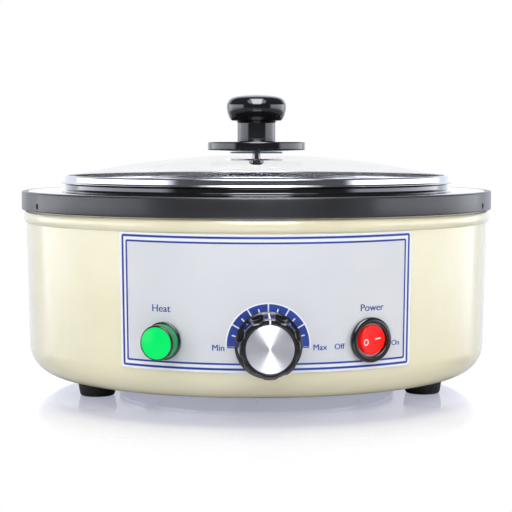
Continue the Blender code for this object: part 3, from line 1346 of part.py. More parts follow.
def build_leads(bath, legs):
    """Leads between the block, switch, lamp, thermostat, element and cutout."""
    left_end, left_out = legs["left"]
    right_end, right_out = legs["right"]
    tab_depth = WELL_DEPTH + SWITCH_FLOOR_THICKNESS + SEAT_GAP + TAB_LENGTH + LEAD_GAP
    tab_side = TAB_WIDTH / 3
    lamp_depth = LAMP_BARREL_DEPTH + LEAD_GAP
    lamp_spread = LAMP_BARREL_RADIUS / 2
    back = thermostat_back() + LEAD_GAP
    stud = SEAT_GAP + END_BEAD_LENGTH + STUD_LENGTH + LEAD_GAP
    inner_lane, middle_lane, outer_lane = (BLOCK_CIRCLE_RADIUS + LANE_PITCH * k for k in (-1, 0, 1))

    def from_switch(x, y=0, extra=0):
        return behind_plate(SWITCH_AZIMUTH, SWITCH_Z, x, y, tab_depth + extra)

    def from_lamp(x, extra=0):
        return behind_plate(LAMP_AZIMUTH, LAMP_Z, x, 0, lamp_depth + extra)

    def from_thermostat(x, y, extra=0):
        return behind_plate(0, DIAL_Z, x, y, back + extra)

    supply_fall = fall(from_switch(TAB_SPREAD, 0, LEAD_STRAIGHT), 1, middle_lane)
    supply_azimuth = math.atan2(supply_fall[-1].x, -supply_fall[-1].y)
    supply_end = block_entry(middle_lane, -1)
    supply = [
        from_switch(TAB_SPREAD),
        from_switch(TAB_SPREAD, 0, LEAD_STRAIGHT),
        *supply_fall,
        *lane(middle_lane, supply_azimuth, supply_end),
        polar(supply_end, middle_lane, LANE_Z),
    ]

    return_fall = fall(from_lamp(-lamp_spread, LEAD_STRAIGHT), -1, inner_lane)
    return_azimuth = math.atan2(return_fall[-1].x, -return_fall[-1].y)
    return_end = block_entry(inner_lane, 1) - 2 * math.pi
    lamp_return = [
        from_lamp(-lamp_spread),
        from_lamp(-lamp_spread, LEAD_STRAIGHT),
        *return_fall,
        *lane(inner_lane, return_azimuth, return_end),
        polar(return_end, inner_lane, LANE_Z),
    ]

    lamp_start = from_lamp(lamp_spread, LEAD_STRAIGHT)
    lamp_goal = from_switch(-TAB_SPREAD, -tab_side, LEAD_STRAIGHT)
    lamp_feed = [
        from_lamp(lamp_spread),
        lamp_start,
        *fall(lamp_start, 1, outer_lane),
        *reversed(fall(lamp_goal, -1, outer_lane)),
        lamp_goal,
        from_switch(-TAB_SPREAD, -tab_side),
    ]

    quarter = THERMOSTAT_WIDTH / 4
    switched = [
        from_switch(-TAB_SPREAD, tab_side),
        from_switch(-TAB_SPREAD, tab_side, LEAD_STRAIGHT),
        from_thermostat(quarter, -quarter / 2, LEAD_STRAIGHT),
        from_thermostat(quarter, -quarter / 2),
    ]
    element_feed = [
        from_thermostat(quarter / 2, quarter),
        from_thermostat(quarter / 2, quarter, LEAD_STRAIGHT),
        right_end + right_out * (stud + LEAD_STRAIGHT),
        right_end + right_out * stud,
    ]

    cutout_side = CUTOUT_RADIUS / 3
    cutout_low = CUTOUT_LOW_Z - LEAD_GAP
    cutout_front = polar(CUTOUT_AZIMUTH, CUTOUT_CIRCLE_RADIUS, cutout_low) - Vector((0, cutout_side, 0))
    cutout_rear = polar(CUTOUT_AZIMUTH, CUTOUT_CIRCLE_RADIUS, cutout_low) + Vector((0, cutout_side, 0))
    drop = Vector((0, 0, LEAD_STRAIGHT))
    clear_z = CLAMP_TOP_Z - CLAMP_LIP - 2 * LEAD_RADIUS
    element_return = [
        left_end + left_out * stud,
        left_end + left_out * (stud + LEAD_STRAIGHT),
        polar(-ELEMENT_END_AZIMUTH * 1.5, CLAMP_RADIUS + 2 * LEAD_STRAIGHT, clear_z),
        polar(-ELEMENT_END_AZIMUTH * 2, CLAMP_RADIUS, clear_z - LEAD_STRAIGHT),
        cutout_front - drop * 2,
        cutout_front,
    ]
    entry_radius = BLOCK_CIRCLE_RADIUS - BLOCK_DEPTH / 2 - LEAD_GAP
    entry_z = SHELL_FLOOR_Z + SEAT_GAP + BLOCK_HEIGHT / 2
    cutout_return = [
        cutout_rear,
        cutout_rear - drop * 2,
        polar(BLOCK_AZIMUTH, entry_radius - 3 * LEAD_STRAIGHT, entry_z + LEAD_STRAIGHT),
        polar(BLOCK_AZIMUTH, entry_radius - LEAD_STRAIGHT, entry_z),
        polar(BLOCK_AZIMUTH, entry_radius, entry_z),
    ]
    routes = {
        "lead_supply": supply,
        "lead_lamp_return": lamp_return,
        "lead_lamp_feed": lamp_feed,
        "lead_thermostat": switched,
        "lead_element_feed": element_feed,
        "lead_element_return": element_return,
        "lead_cutout_return": cutout_return,
    }
    for name, route in routes.items():
        wire(name, smooth_line(route, LEAD_POINTS_PER_SPAN), LEAD_RADIUS, 1, "lead_red", bath)


# Feet and bottom cover


def build_feet(bath):
    """Rubber feet with their screws."""
    top = SHELL_BASE_Z - SEAT_GAP
    shank_room = FOOT_SCREW_RADIUS + SCREW_CLEARANCE
    profile = [
        (shank_room, top),
        (FOOT_TOP_RADIUS, top),
        (FOOT_LOW_RADIUS, FOOT_ROUND),
        (FOOT_LOW_RADIUS - FOOT_ROUND / 4, FOOT_ROUND / 4),
        (FOOT_LOW_RADIUS - FOOT_ROUND, 0),
        (FOOT_RECESS_RADIUS, 0),
        (FOOT_RECESS_RADIUS, FOOT_RECESS_DEPTH),
        (shank_room, FOOT_RECESS_DEPTH),
    ]
    places = {side: standing(a, FOOT_CIRCLE_RADIUS, 0) for side, a in FOOT_AZIMUTHS.items()}
    foot = turned("foot", profile, SMALL_STEPS, "rubber", bath, closed=True)
    copies(foot, {f"foot_{side}": place for side, place in places.items()})
    head_top = FOOT_RECESS_DEPTH - SEAT_GAP
    head_low = head_top - FOOT_SCREW_HEAD_HEIGHT
    tip = SHELL_FLOOR_Z + FOOT_SCREW_REACH
    foot_screw = turned(
        "foot_screw",
        [
            (0, tip),
            (FOOT_SCREW_RADIUS, tip),
            (FOOT_SCREW_RADIUS, head_top),
            (FOOT_SCREW_HEAD_RADIUS, head_top),
            (FOOT_SCREW_HEAD_RADIUS, head_low),
            (0, head_low),
        ],
        TINY_STEPS,
        "plain_steel",
        bath,
    )
    copies(foot_screw, {f"foot_screw_{side}": place for side, place in places.items()})


def build_cover(bath):
    """Vented bottom cover over the service opening, with its screws."""
    cover = turned(
        "bottom_cover",
        rod(COVER_RADIUS, COVER_LOW_Z, COVER_TOP_Z),
        LARGE_STEPS,
        "galvanised",
        bath,
    )
    slot = block("slot_bit", (VENT_WIDTH, VENT_LENGTH, COVER_THICKNESS + 2 * OVERRUN), 0, None, bath)
    vent_azimuths = [2 * math.pi * i / VENT_COUNT for i in range(VENT_COUNT)]
    slots = [standing(a, VENT_CIRCLE_RADIUS, COVER_LOW_Z) for a in vent_azimuths]
    holes = [
        standing(a, COVER_SCREW_CIRCLE_RADIUS, COVER_TOP_Z)
        for a in COVER_SCREW_AZIMUTHS.values()
    ]
    room = COVER_SCREW_RADIUS + SCREW_CLEARANCE
    cut(
        cover,
        cutter_pattern("vent_slots", slot, slots),
        drill("cover_holes", room, COVER_THICKNESS, holes, bath),
    )
    head_top = COVER_LOW_Z - SEAT_GAP
    tip = SHELL_FLOOR_Z + COVER_SCREW_REACH
    cover_screw = turned(
        "cover_screw",
        [
            (0, tip),
            (COVER_SCREW_RADIUS, tip),
            (COVER_SCREW_RADIUS, head_top),
            (COVER_SCREW_HEAD_RADIUS, head_top),
            (COVER_SCREW_HEAD_RADIUS / 2, head_top - COVER_SCREW_HEAD_HEIGHT),
            (0, head_top - COVER_SCREW_HEAD_HEIGHT),
        ],
        TINY_STEPS,
        "plain_steel",
        bath,
    )
    places = {
        f"cover_screw_{side}": standing(azimuth, COVER_SCREW_CIRCLE_RADIUS, 0)
        for side, azimuth in COVER_SCREW_AZIMUTHS.items()
    }
    copies(cover_screw, places)


def axis_setback():
    """How far back the bath's axis lies, so that the origin is under the outline's middle."""
    face = shell_radius(DIAL_Z) + SEAT_GAP + PLATE_THICKNESS
    height = (DIAL_STANDOFF + DIAL_HEIGHT) * math.cos(WALL_TILT)
    edge = (DIAL_FACE_RADIUS - DIAL_FACE_ROUND) * math.sin(WALL_TILT)
    return (face + height + edge - RING_RADIUS) / 2


def shade_round():
    """Shades the turned parts smooth, with their corners kept sharp."""
    graph = bpy.context.evaluated_depsgraph_get()
    for obj in collection(COLLECTION_NAME).objects:
        if obj.type == "MESH":
            mesh = bpy.data.meshes.new_from_object(obj.evaluated_get(graph))
            obj.modifiers.clear()
            obj.data = mesh
            mesh.name = obj.name
            mesh.shade_smooth()
            mesh.set_sharp_from_angle(angle=SHARP_ANGLE)


def main():
    """Builds the whole bath in an empty scene."""
    for old in list(bpy.data.objects):
        bpy.data.objects.remove(old, do_unlink=True)
    bath = add_frame("bath_axis", None, Matrix.Translation((0, axis_setback(), 0)))
    panel_holes = build_panel_holes(bath)
    build_shell(bath, panel_holes)
    build_trim(bath)
    build_pot(bath)
    legs = build_heater(bath)
    build_lid(bath)
    build_plate(bath, panel_holes)
    build_lamp(bath)
    build_thermostat(bath)
    build_switch(bath)
    build_sensor(bath)
    build_gland(bath)
    build_block(bath)
    build_leads(bath, legs)
    build_feet(bath)
    build_cover(bath)
    shade_round()


if __name__ == "__main__":
    main()
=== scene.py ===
"""Visible pieces, finishes and stage of a round tissue flotation bath.

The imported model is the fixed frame. Smooth turned pieces take the place of its
faceted ones, print lies on the control plate, and every other node gets a finish.
Sizes are in metres. Heights are above the table, radii are from the bath's upright
axis, and azimuths are angles from the front, which faces -Y, positive towards +X.
A corner of a turned profile is a radius, a height and, where it is rounded, by how much.
"""

import json
import math

import bmesh
import bpy
from bpy.props import FloatProperty, FloatVectorProperty, IntProperty, PointerProperty
from mathutils import Matrix, Vector

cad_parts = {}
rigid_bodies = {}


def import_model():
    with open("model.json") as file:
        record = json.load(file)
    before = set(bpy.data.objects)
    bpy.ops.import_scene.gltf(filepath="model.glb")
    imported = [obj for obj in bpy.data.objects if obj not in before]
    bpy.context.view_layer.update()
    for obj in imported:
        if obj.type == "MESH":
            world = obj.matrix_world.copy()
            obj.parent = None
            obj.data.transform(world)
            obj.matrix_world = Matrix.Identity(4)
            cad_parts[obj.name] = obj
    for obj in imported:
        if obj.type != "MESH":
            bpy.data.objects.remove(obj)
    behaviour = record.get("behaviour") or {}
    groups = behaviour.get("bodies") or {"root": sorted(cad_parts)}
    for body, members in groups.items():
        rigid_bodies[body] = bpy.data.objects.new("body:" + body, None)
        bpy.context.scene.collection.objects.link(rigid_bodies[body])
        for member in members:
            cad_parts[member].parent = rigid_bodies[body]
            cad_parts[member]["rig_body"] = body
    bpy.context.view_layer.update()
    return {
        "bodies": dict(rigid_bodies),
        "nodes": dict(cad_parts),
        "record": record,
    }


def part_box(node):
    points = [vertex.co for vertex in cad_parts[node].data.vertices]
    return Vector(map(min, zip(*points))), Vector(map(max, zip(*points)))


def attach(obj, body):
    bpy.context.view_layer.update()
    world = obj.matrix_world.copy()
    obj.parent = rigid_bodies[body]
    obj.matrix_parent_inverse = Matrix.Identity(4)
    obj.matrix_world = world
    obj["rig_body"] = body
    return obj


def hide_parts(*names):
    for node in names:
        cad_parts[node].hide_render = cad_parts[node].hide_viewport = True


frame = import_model()

bl_info = {
    "name": "Flotation Bath Pieces",
    "version": (1, 0, 0),
    "blender": (4, 5, 0),
    "location": "3D View > Sidebar > Flotation Bath",
    "description": "Builds the smooth pieces, finishes and stage of a round flotation bath",
    "category": "Object",
}

FULL_TURN = 2 * math.pi
MERGE_DISTANCE = 0.000002
SEAT_GAP = 0.0003
SHARP_ANGLE = math.radians(34)
BATH_CENTRE_Y = sum(corner.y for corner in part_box("trim_ring")) / 2
BEND_STEP = 0.0036
PRINT_LAYER = 0.00003
CAPITAL_SHARE = 0.72
STROKE_SHIFT = 0.00009
BOLT_HOLE = 0.0029
UNDOABLE = {"REGISTER", "UNDO"}


# Sizes and colours that a user would change


def length(name, description, default):
    """A size in metres."""
    return FloatProperty(name=name, description=description, default=default, unit="LENGTH", precision=5)


def angle(name, description, degrees):
    """An angle, given in degrees."""
    return FloatProperty(name=name, description=description, default=math.radians(degrees), unit="ROTATION")


def chart(red, green, blue):
    """Paint chart values, 0 to 255, as the linear values that shaders use."""
    shares = [value / 255 for value in (red, green, blue)]
    return tuple(s / 12.92 if s <= 0.04045 else ((s + 0.055) / 1.055) ** 2.4 for s in shares)


def colour(name, description, *values):
    """A colour, given in paint chart values."""
    default = chart(*values)
    return FloatVectorProperty(name=name, description=description, default=default, subtype="COLOR", min=0, max=1)


class BathShell(bpy.types.PropertyGroup):
    """Sizes of the shell, the trim ring and the feet"""

    steps: IntProperty(name="Round Steps", description="Faces round each large turned piece", default=128, min=24)
    base: length("Base Height", "Height of the shell's flat bottom above the table", 0.0080)
    corner: length("Bottom Corner", "Radius of the shell's drawn bottom corner", 0.0170)
    radius: length("Wall Radius", "Radius of the wall just above its bottom corner", 0.1382)
    flare: length("Wall Flare", "How much wider the wall is below its bead", 0.0019)
    side: length("Wall Height", "Height of the wall from its corner to its bead", 0.0735)
    wall: length("Sheet Thickness", "Thickness of the shell's sheet", 0.0016)
    bead: length("Bead Height", "Height of the rolled bead", 0.0072)
    bead_proud: length("Bead Depth", "How far the rolled bead stands out", 0.0017)
    neck: length("Neck Height", "Height of the neck that the trim ring covers", 0.0066)
    opening: length("Service Opening", "Radius of the opening in the bottom", 0.0700)
    ring: length("Trim Ring Radius", "Outer radius of the trim ring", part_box("trim_ring")[1].x)
    ring_skirt: length("Trim Ring Skirt", "Thickness of the trim ring's skirt", 0.0024)
    ring_land: length("Trim Ring Land", "Width of the trim ring's flat top", 0.0033)
    ring_ledge: length("Trim Ring Ledge", "Reach of the ledge that carries the pot", 0.0065)
    foot_top: length("Foot Top Radius", "Radius of a foot against the shell", 0.0112)
    foot_low: length("Foot Low Radius", "Radius of a foot on the table", 0.0098)


class BathLid(bpy.types.PropertyGroup):
    """Sizes of the pot, the lid and its knob"""

    deck: length("Deck Height", "Height of the pot's deck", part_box("trim_ring")[1].z)
    rim: length("Rim Height", "Height of the pot's raised rim above the table", 0.1217)
    rim_radius: length("Rim Radius", "Outer radius of the pot's raised rim", 0.1173)
    rim_width: length("Rim Width", "Width of the pot's raised rim", 0.0030)
    depth: length("Well Depth", "Depth of the pot's well", 0.0620)
    taper: length("Well Taper", "How much narrower the well is at its floor", 0.0043)
    pot_wall: length("Pot Wall", "Thickness of the pot's wall", 0.0026)
    band: length("Band Sheet", "Thickness of the lid band's sheet", 0.0006)
    flange: length("Band Flange", "How far the lid band's flange reaches past the rim", 0.0023)
    glass: length("Glass Thickness", "Thickness of the lid's glass", 0.0026)
    rise: length("Glass Rise", "Rise of the glass dome", 0.0141)
    guard: length("Heat Guard Radius", "Radius of the flat disc below the knob", 0.0300)
    neck: length("Knob Neck Radius", "Radius of the knob's waist", 0.0117)
    cap: length("Knob Cap Radius", "Radius of the knob's cap at its foot", 0.0153)
    cap_flare: length("Knob Cap Flare", "How much wider the knob's cap is at its crease", 0.00305)


class BathControls(bpy.types.PropertyGroup):
    """Sizes of the control plate, lamp, dial and switch"""

    plate_low: length("Plate Low Edge", "Height of the control plate's low edge", 0.0243)
    plate_height: length("Plate Height", "Height of the control plate", 0.0738)
    plate_span: angle("Plate Half Span", "Azimuth of the control plate's side edges", 34.5)
    plate_sheet: length("Plate Thickness", "Thickness of the control plate", 0.0005)
    side_azimuth: angle("Side Control Azimuth", "Azimuth of the lamp and of the switch", 23.5)
    side_height: length("Side Control Height", "Height of the lamp and of the switch", 0.0402)
    dial_height: length("Dial Height", "Height of the dial's axis", 0.0392)
    lens: length("Lens Radius", "Radius of the lamp's lens", 0.0095)
    lens_depth: length("Lens Depth", "How far the lens stands out of its housing", 0.0078)
    skirt: length("Dial Skirt Radius", "Radius of the dial's skirt", 0.0181)
    grip: length("Dial Grip Radius", "Radius of the dial's fluted grip at its foot", 0.0172)
    face: length("Dial Face Radius", "Radius of the dial's face", 0.0160)
    dial_depth: length("Dial Depth", "How far the dial stands out", 0.0174)
    flutes: IntProperty(name="Dial Flutes", description="Number of flutes in the dial's grip", default=8, min=3)
    insert: length("Insert Radius", "Radius of the dial's turned insert", 0.0127)
    bezel: length("Bezel Radius", "Radius of the switch's bezel", 0.0123)
    rocker: length("Rocker Radius", "Radius of the switch's rocker", 0.0081)


class BathColours(bpy.types.PropertyGroup):
    """Colours of the finishes that show"""

    enamel: colour("Shell Enamel", "Cream enamel of the shell", 242, 237, 206)
    enamel_shade: colour("Shell Enamel Shade", "Deeper tone that drifts through the enamel", 237, 229, 193)
    trim: colour("Trim", "Satin paint of the trim ring", 40, 40, 43)
    pot: colour("Pot", "Dark coating of the pot", 24, 24, 26)
    knob: colour("Knob", "Moulding of the knob and the dial", 18, 18, 20)
    plate: colour("Plate Edge", "White border of the control plate", 244, 246, 251)
    field: colour("Plate Field", "Pale silver field of the control plate", 224, 225, 228)
    print: colour("Print", "Blue of the plate's lines and words", 24, 48, 140)
    lens: colour("Lens", "Green of the lit lens", 8, 90, 48)
    rocker: colour("Rocker", "Red of the switch's rocker", 240, 28, 18)


class BathStage(bpy.types.PropertyGroup):
    """Place of the camera and strength of the lights"""

    distance: length("Camera Distance", "Distance of the camera from the bath's axis", 1.0)
    height: length("Camera Height", "Height of the camera above the table", 0.147)
    azimuth: angle("Camera Azimuth", "Azimuth of the camera", -2.6)
    tilt: angle("Camera Tilt", "How far the camera looks down", 1.8)
    turn: angle("Camera Turn", "How far the camera looks to the left of the axis", 0.015)
    shift: FloatProperty(name="Camera Shift", description="Upward shift of the camera's view", default=-0.1235)
    lens: FloatProperty(name="Camera Lens", description="Focal length of the camera", default=114.3, unit="CAMERA")
    key: FloatProperty(name="Top Light", description="Power of the light above", default=8.1, unit="POWER")
    side: FloatProperty(name="Side Lights", description="Power of each side light", default=5.0, unit="POWER")
    room: FloatProperty(name="Room Light", description="Strength of the room's light", default=0.59)


# Places on the round body


def polar(azimuth, radius, height):
    """A point given by its azimuth, radius and height."""
    return Vector((radius * math.sin(azimuth), BATH_CENTRE_Y - radius * math.cos(azimuth), height))


def facing_out(azimuth, radius, height, tilt=0.0):
    """A placement whose Z points out of the wall, with X to the right and Y up."""
    lean = Matrix.Rotation(math.pi / 2 + tilt, 4, "X")
    return Matrix.Translation(polar(azimuth, radius, height)) @ Matrix.Rotation(azimuth, 4, "Z") @ lean


def wall_radius(height):
    """Outer radius of the shell's tapered wall at a height."""
    shell = bpy.context.scene.bath_shell
    return shell.radius + shell.flare * (height - shell.base - shell.corner) / shell.side


def wall_tilt():
    """How far the shell's wall leans out."""
    shell = bpy.context.scene.bath_shell
    return math.atan2(shell.flare, shell.side)


def plate_proud():
    """How far the control plate's front face stands out of the wall."""
    return SEAT_GAP + bpy.context.scene.bath_controls.plate_sheet


def on_plate(azimuth, height):
    """A placement on the control plate's front face."""
    return facing_out(azimuth, wall_radius(height) + plate_proud(), height, wall_tilt())


def neck_top():
    """Height of the top of the shell's neck."""
    shell = bpy.context.scene.bath_shell
    return shell.base + shell.corner + shell.side + shell.bead + shell.neck


# Shaping


def arc(centre, reach, start, end, count=13):
    """Corners of a profile along an arc, or along a part of an ellipse."""
    turns = [start + (end - start) * i / (count - 1) for i in range(count)]
    return [(centre[0] + reach[0] * math.cos(a), centre[1] + reach[1] * math.sin(a)) for a in turns]


def eased(bm, corners, reach, steps):
    """Rounds corners of an outline."""
    rounding = {"offset": reach, "offset_type": "OFFSET", "affect": "VERTICES", "segments": steps}
    bmesh.ops.bevel(bm, geom=corners, profile=0.5, material=-1, **rounding)


def spun(bm, turn, steps):
    """Spins an outline about the Z axis. A full turn is closed."""
    whole = abs(turn - FULL_TURN) < MERGE_DISTANCE
    centre = {"cent": (0, 0, 0), "axis": (0, 0, 1), "dvec": (0, 0, 0)}
    bmesh.ops.spin(bm, geom=bm.verts[:] + bm.edges[:], angle=turn, steps=steps, use_merge=whole, **centre)


def turned(profile, steps, place=None, ease_steps=5):
    """A turned shape, on the bath's axis unless it is placed elsewhere. A profile clear of its axis is closed."""
    bm = bmesh.new()
    corners = [bm.verts.new((corner[0], 0, corner[1])) for corner in profile]
    for upper, lower in zip(corners, corners[1:]):
        bm.edges.new((upper, lower))
    if profile[0][0] > 0:
        bm.edges.new((corners[-1], corners[0]))
    for vert, corner in zip(corners, profile):
        if len(corner) > 2:
            eased(bm, [vert], corner[2], ease_steps)
    spun(bm, FULL_TURN, steps)
    return sealed(bm, place or Matrix.Translation((0, BATH_CENTRE_Y, 0)))


def sealed(bm, place=None):
    """The same shape with its poles and seams closed, its faces outwards, and put in place."""
    bmesh.ops.remove_doubles(bm, verts=bm.verts, dist=MERGE_DISTANCE)
    bmesh.ops.recalc_face_normals(bm, faces=bm.faces)
    return placed(bm, place) if place else bm


def placed(bm, place):
    """The same shape, put in place."""
    bmesh.ops.transform(bm, matrix=place, verts=bm.verts)
    return bm


def join(target, part):
    """Adds a part's shape to another, and frees it."""
    mesh = bpy.data.meshes.new("part")
    part.to_mesh(mesh)
    part.free()
    target.from_mesh(mesh)
    bpy.data.meshes.remove(mesh)
    return target


def bar(size, centre, turn=0.0):
    """A flat bar in the plane of the print, turned about the origin before it is moved."""
    bm = bmesh.new()
    bmesh.ops.create_grid(bm, x_segments=1, y_segments=1, size=0.5)
    bmesh.ops.scale(bm, vec=(*size, 1), verts=bm.verts)
    bmesh.ops.rotate(bm, matrix=Matrix.Rotation(turn, 3, "Z"), verts=bm.verts)
    bmesh.ops.translate(bm, vec=(*centre, 0), verts=bm.verts)
    return bm


def panel(size, centre, corner):
    """A flat panel with rounded corners."""
    bm = bar(size, centre)
    eased(bm, bm.verts[:], corner, 6)
    return bm


def outline(size, centre, corner, width):
    """A line of even width round a panel's edge."""
    bm = panel(size, centre, corner)
    inner = bm.faces[:]
    bmesh.ops.inset_region(bm, faces=inner, thickness=width, use_even_offset=True, use_boundary=True)
    bmesh.ops.delete(bm, geom=inner, context="FACES")
    return bm


def ring_band(inner, outer, centre, start, end, steps):
    """A flat band along an arc round a centre, between two angles in degrees."""
    first, last = math.radians(start), math.radians(end)
    bm = bmesh.new()
    bm.edges.new([bm.verts.new((radius * math.cos(first), radius * math.sin(first), 0)) for radius in (inner, outer)])
    spun(bm, last - first, steps)
    bmesh.ops.remove_doubles(bm, verts=bm.verts, dist=MERGE_DISTANCE)
    bmesh.ops.translate(bm, vec=(*centre, 0), verts=bm.verts)
    return bm


def words(text, height, centre):
    """Flat lettering of that letter height about a centre, drawn twice side by side for bolder strokes."""
    letters = bpy.data.curves.new("letters", "FONT")
    letters.body = text
    letters.size = 1.0
    letters.align_x = "CENTER"
    letters.align_y = "CENTER"
    letters.resolution_u = 6
    holder = bpy.data.objects.new("letters", letters)
    bpy.context.scene.collection.objects.link(holder)
    mesh = evaluated(holder)
    bm = bmesh.new()
    bm.from_mesh(mesh)
    bpy.data.objects.remove(holder)
    bpy.data.curves.remove(letters)
    bpy.data.meshes.remove(mesh)
    size = height / CAPITAL_SHARE
    bmesh.ops.scale(bm, vec=(size, size, size), verts=bm.verts)
    bmesh.ops.remove_doubles(bm, verts=bm.verts, dist=MERGE_DISTANCE)
    bmesh.ops.translate(bm, vec=(centre[0] - STROKE_SHIFT, centre[1], 0), verts=bm.verts)
    second = bm.copy()
    bmesh.ops.translate(second, vec=(2 * STROKE_SHIFT, 0, 0), verts=second.verts)
    return join(bm, second)


def thickened(bm, low, high):
    """A flat shape given thickness between two heights above its plane."""
    raised = bmesh.ops.extrude_face_region(bm, geom=bm.faces[:], use_keep_orig=True)["geom"]
    top = [item for item in raised if isinstance(item, bmesh.types.BMVert)]
    for vert in bm.verts:
        vert.co.z = low
    for vert in top:
        vert.co.z = high
    return sealed(bm)


def wrapped(bm, low, high):
    """A flat shape given thickness and bent round the wall. Its plane is the control plate's front face."""
    thickened(bm, low, high)
    strips = int(max(abs(vert.co.x) for vert in bm.verts) / BEND_STEP)
    for i in range(-strips, strips + 1):
        cut = {"dist": MERGE_DISTANCE, "plane_co": (i * BEND_STEP, 0, 0), "plane_no": (1, 0, 0)}
        bmesh.ops.bisect_plane(bm, geom=bm.verts[:] + bm.edges[:] + bm.faces[:], **cut)
    controls = bpy.context.scene.bath_controls
    shell = bpy.context.scene.bath_shell
    middle = wall_radius(controls.side_height)
    reach = controls.plate_span * middle
    rise = shell.flare / shell.side / (2 * middle)
    for vert in bm.verts:
        across, height, lift = vert.co
        height += rise * (across**2 - reach**2 / 2)
        vert.co = polar(across / middle, wall_radius(height) + plate_proud() + lift, height)
    return bm


def new_object(name, bm):
    """A new object of that shape, which it frees."""
    mesh = bpy.data.meshes.new(name)
    bm.to_mesh(mesh)
    bm.free()
    obj = bpy.data.objects.new(name, mesh)
    bpy.context.scene.collection.objects.link(obj)
    return obj


def evaluated(obj):
    """A new mesh of the object as it shows."""
    return bpy.data.meshes.new_from_object(obj.evaluated_get(bpy.context.evaluated_depsgraph_get()))


def piece(name, bm, body, slot, *nodes, finish=None):
    """The finished piece: smooth, with its material, riding on a body in the place of its nodes."""
    if not bm.faces:
        raise ValueError(f"{name} has no faces")
    obj = new_object(name, bm)
    mesh = obj.data
    mesh.polygons.foreach_set("use_smooth", [True] * len(mesh.polygons))
    mesh.set_sharp_from_angle(angle=SHARP_ANGLE)
    mesh.materials.append(material(finish or slot))
    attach(obj, body)
    if nodes:
        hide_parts(*nodes)
    return obj


# Shader nodes, and the node groups that several finishes use


def feed(tree, node, inputs):
    """Sets a shader node's inputs to values, or links them to other nodes' sockets."""
    for key, value in inputs.items():
        if isinstance(value, bpy.types.NodeSocket):
            tree.links.new(value, node.inputs[key])
        else:
            node.inputs[key].default_value = value


def add_node(tree, kind, inputs=None, **settings):
    """The outputs of a new shader node with those settings and inputs."""
    made = tree.nodes.new("ShaderNode" + kind)
    for key, value in settings.items():
        setattr(made, key, value)
    feed(tree, made, inputs or {})
    return made.outputs


def calculated(tree, operation, *values):
    """The result of a calculation on values or sockets."""
    return add_node(tree, "Math", dict(enumerate(values)), operation=operation)["Value"]


def mixed(tree, share, first, second, kind="RGBA"):
    """A mix of two colours, or of another kind of value, by a share."""
    return add_node(tree, "Mix", {"Factor": share, "A": first, "B": second}, data_type=kind)["Result"]


def smooth_step(tree, value, low, high):
    """A value's smooth change from 0 to 1 between two limits."""
    span = {"Value": value, "From Min": low, "From Max": high}
    return add_node(tree, "MapRange", span, interpolation_type="SMOOTHSTEP")["Result"]


def node_group(name):
    """The shader node group of that name, made on its first use."""
    tree = bpy.data.node_groups.get(name)
    if tree:
        return tree
    build, inputs, outputs = NODE_GROUPS[name]
    tree = bpy.data.node_groups.new(name, "ShaderNodeTree")
    for socket, kind in inputs.items():
        tree.interface.new_socket(name=socket, in_out="INPUT", socket_type="NodeSocket" + kind)
    for socket, kind in outputs.items():
        tree.interface.new_socket(name=socket, in_out="OUTPUT", socket_type="NodeSocket" + kind)
    results = build(tree, tree.nodes.new("NodeGroupInput").outputs)
    feed(tree, tree.nodes.new("NodeGroupOutput"), dict(zip(outputs, results)))
    return tree


def use_group(tree, name, inputs):
    """The outputs of a node group placed in a material with its own values."""
    return add_node(tree, "Group", inputs, node_tree=node_group(name))


def surface_skin(tree, given):
    """Fine relief of a surface, and the patches where it is smoother or rougher."""
    grain = {"Vector": given["Vector"], "Scale": given["Scale"], "Detail": 3.0, "Roughness": 0.55}
    spots = {"Vector": given["Vector"], "Scale": 38.0, "Detail": 4.0, "Roughness": 0.6}
    spread = {
        "Value": add_node(tree, "TexNoise", spots)["Fac"],
        "From Min": 0.32,
        "From Max": 0.68,
        "To Min": given["Smooth"],
        "To Max": given["Rough"],
    }
    return add_node(tree, "TexNoise", grain)["Fac"], add_node(tree, "MapRange", spread)["Result"]


def tone_drift(tree, given):
    """Slow drift between two tones of a colour."""
    clouds = {"Vector": given["Vector"], "Scale": given["Scale"], "Detail": 5.0, "Roughness": 0.5}
    spread = {"Value": add_node(tree, "TexNoise", clouds)["Fac"], "From Min": 0.3, "From Max": 0.7}
    share = add_node(tree, "MapRange", spread)["Result"]
    return (mixed(tree, share, given["Tone"], given["Other Tone"]),)


def edge_rub(tree, given):
    """Mask of the edges that hands and cloths rub, broken up along their length."""
    rounded = add_node(tree, "Bevel", {"Radius": given["Width"]}, samples=4)["Normal"]
    plain = add_node(tree, "NewGeometry")["Normal"]
    agreement = add_node(tree, "VectorMath", {0: rounded, 1: plain}, operation="DOT_PRODUCT")["Value"]
    edge = add_node(tree, "MapRange", {"Value": agreement, "From Min": 0.995, "From Max": 0.90})["Result"]
    breaks = add_node(tree, "TexNoise", {"Vector": given["Vector"], "Scale": 260.0, "Detail": 4.0})["Fac"]
    return (calculated(tree, "MULTIPLY", edge, breaks),)


def lathe_grooves(tree, given):
    """Fine uneven grooves round the Z axis, as a lathe leaves them."""
    count = calculated(tree, "MULTIPLY", axis_distance(tree, given["Vector"]), given["Pitch"])
    return (add_node(tree, "TexNoise", {"W": count, "Scale": 1.0, "Detail": 2.0}, noise_dimensions="1D")["Fac"],)


def axis_distance(tree, vector):
    """Distance of a point from the Z axis."""
    flat = add_node(tree, "VectorMath", {0: vector, 1: (1.0, 1.0, 0.0)}, operation="MULTIPLY")["Vector"]
    return add_node(tree, "VectorMath", {0: flat}, operation="LENGTH")["Value"]


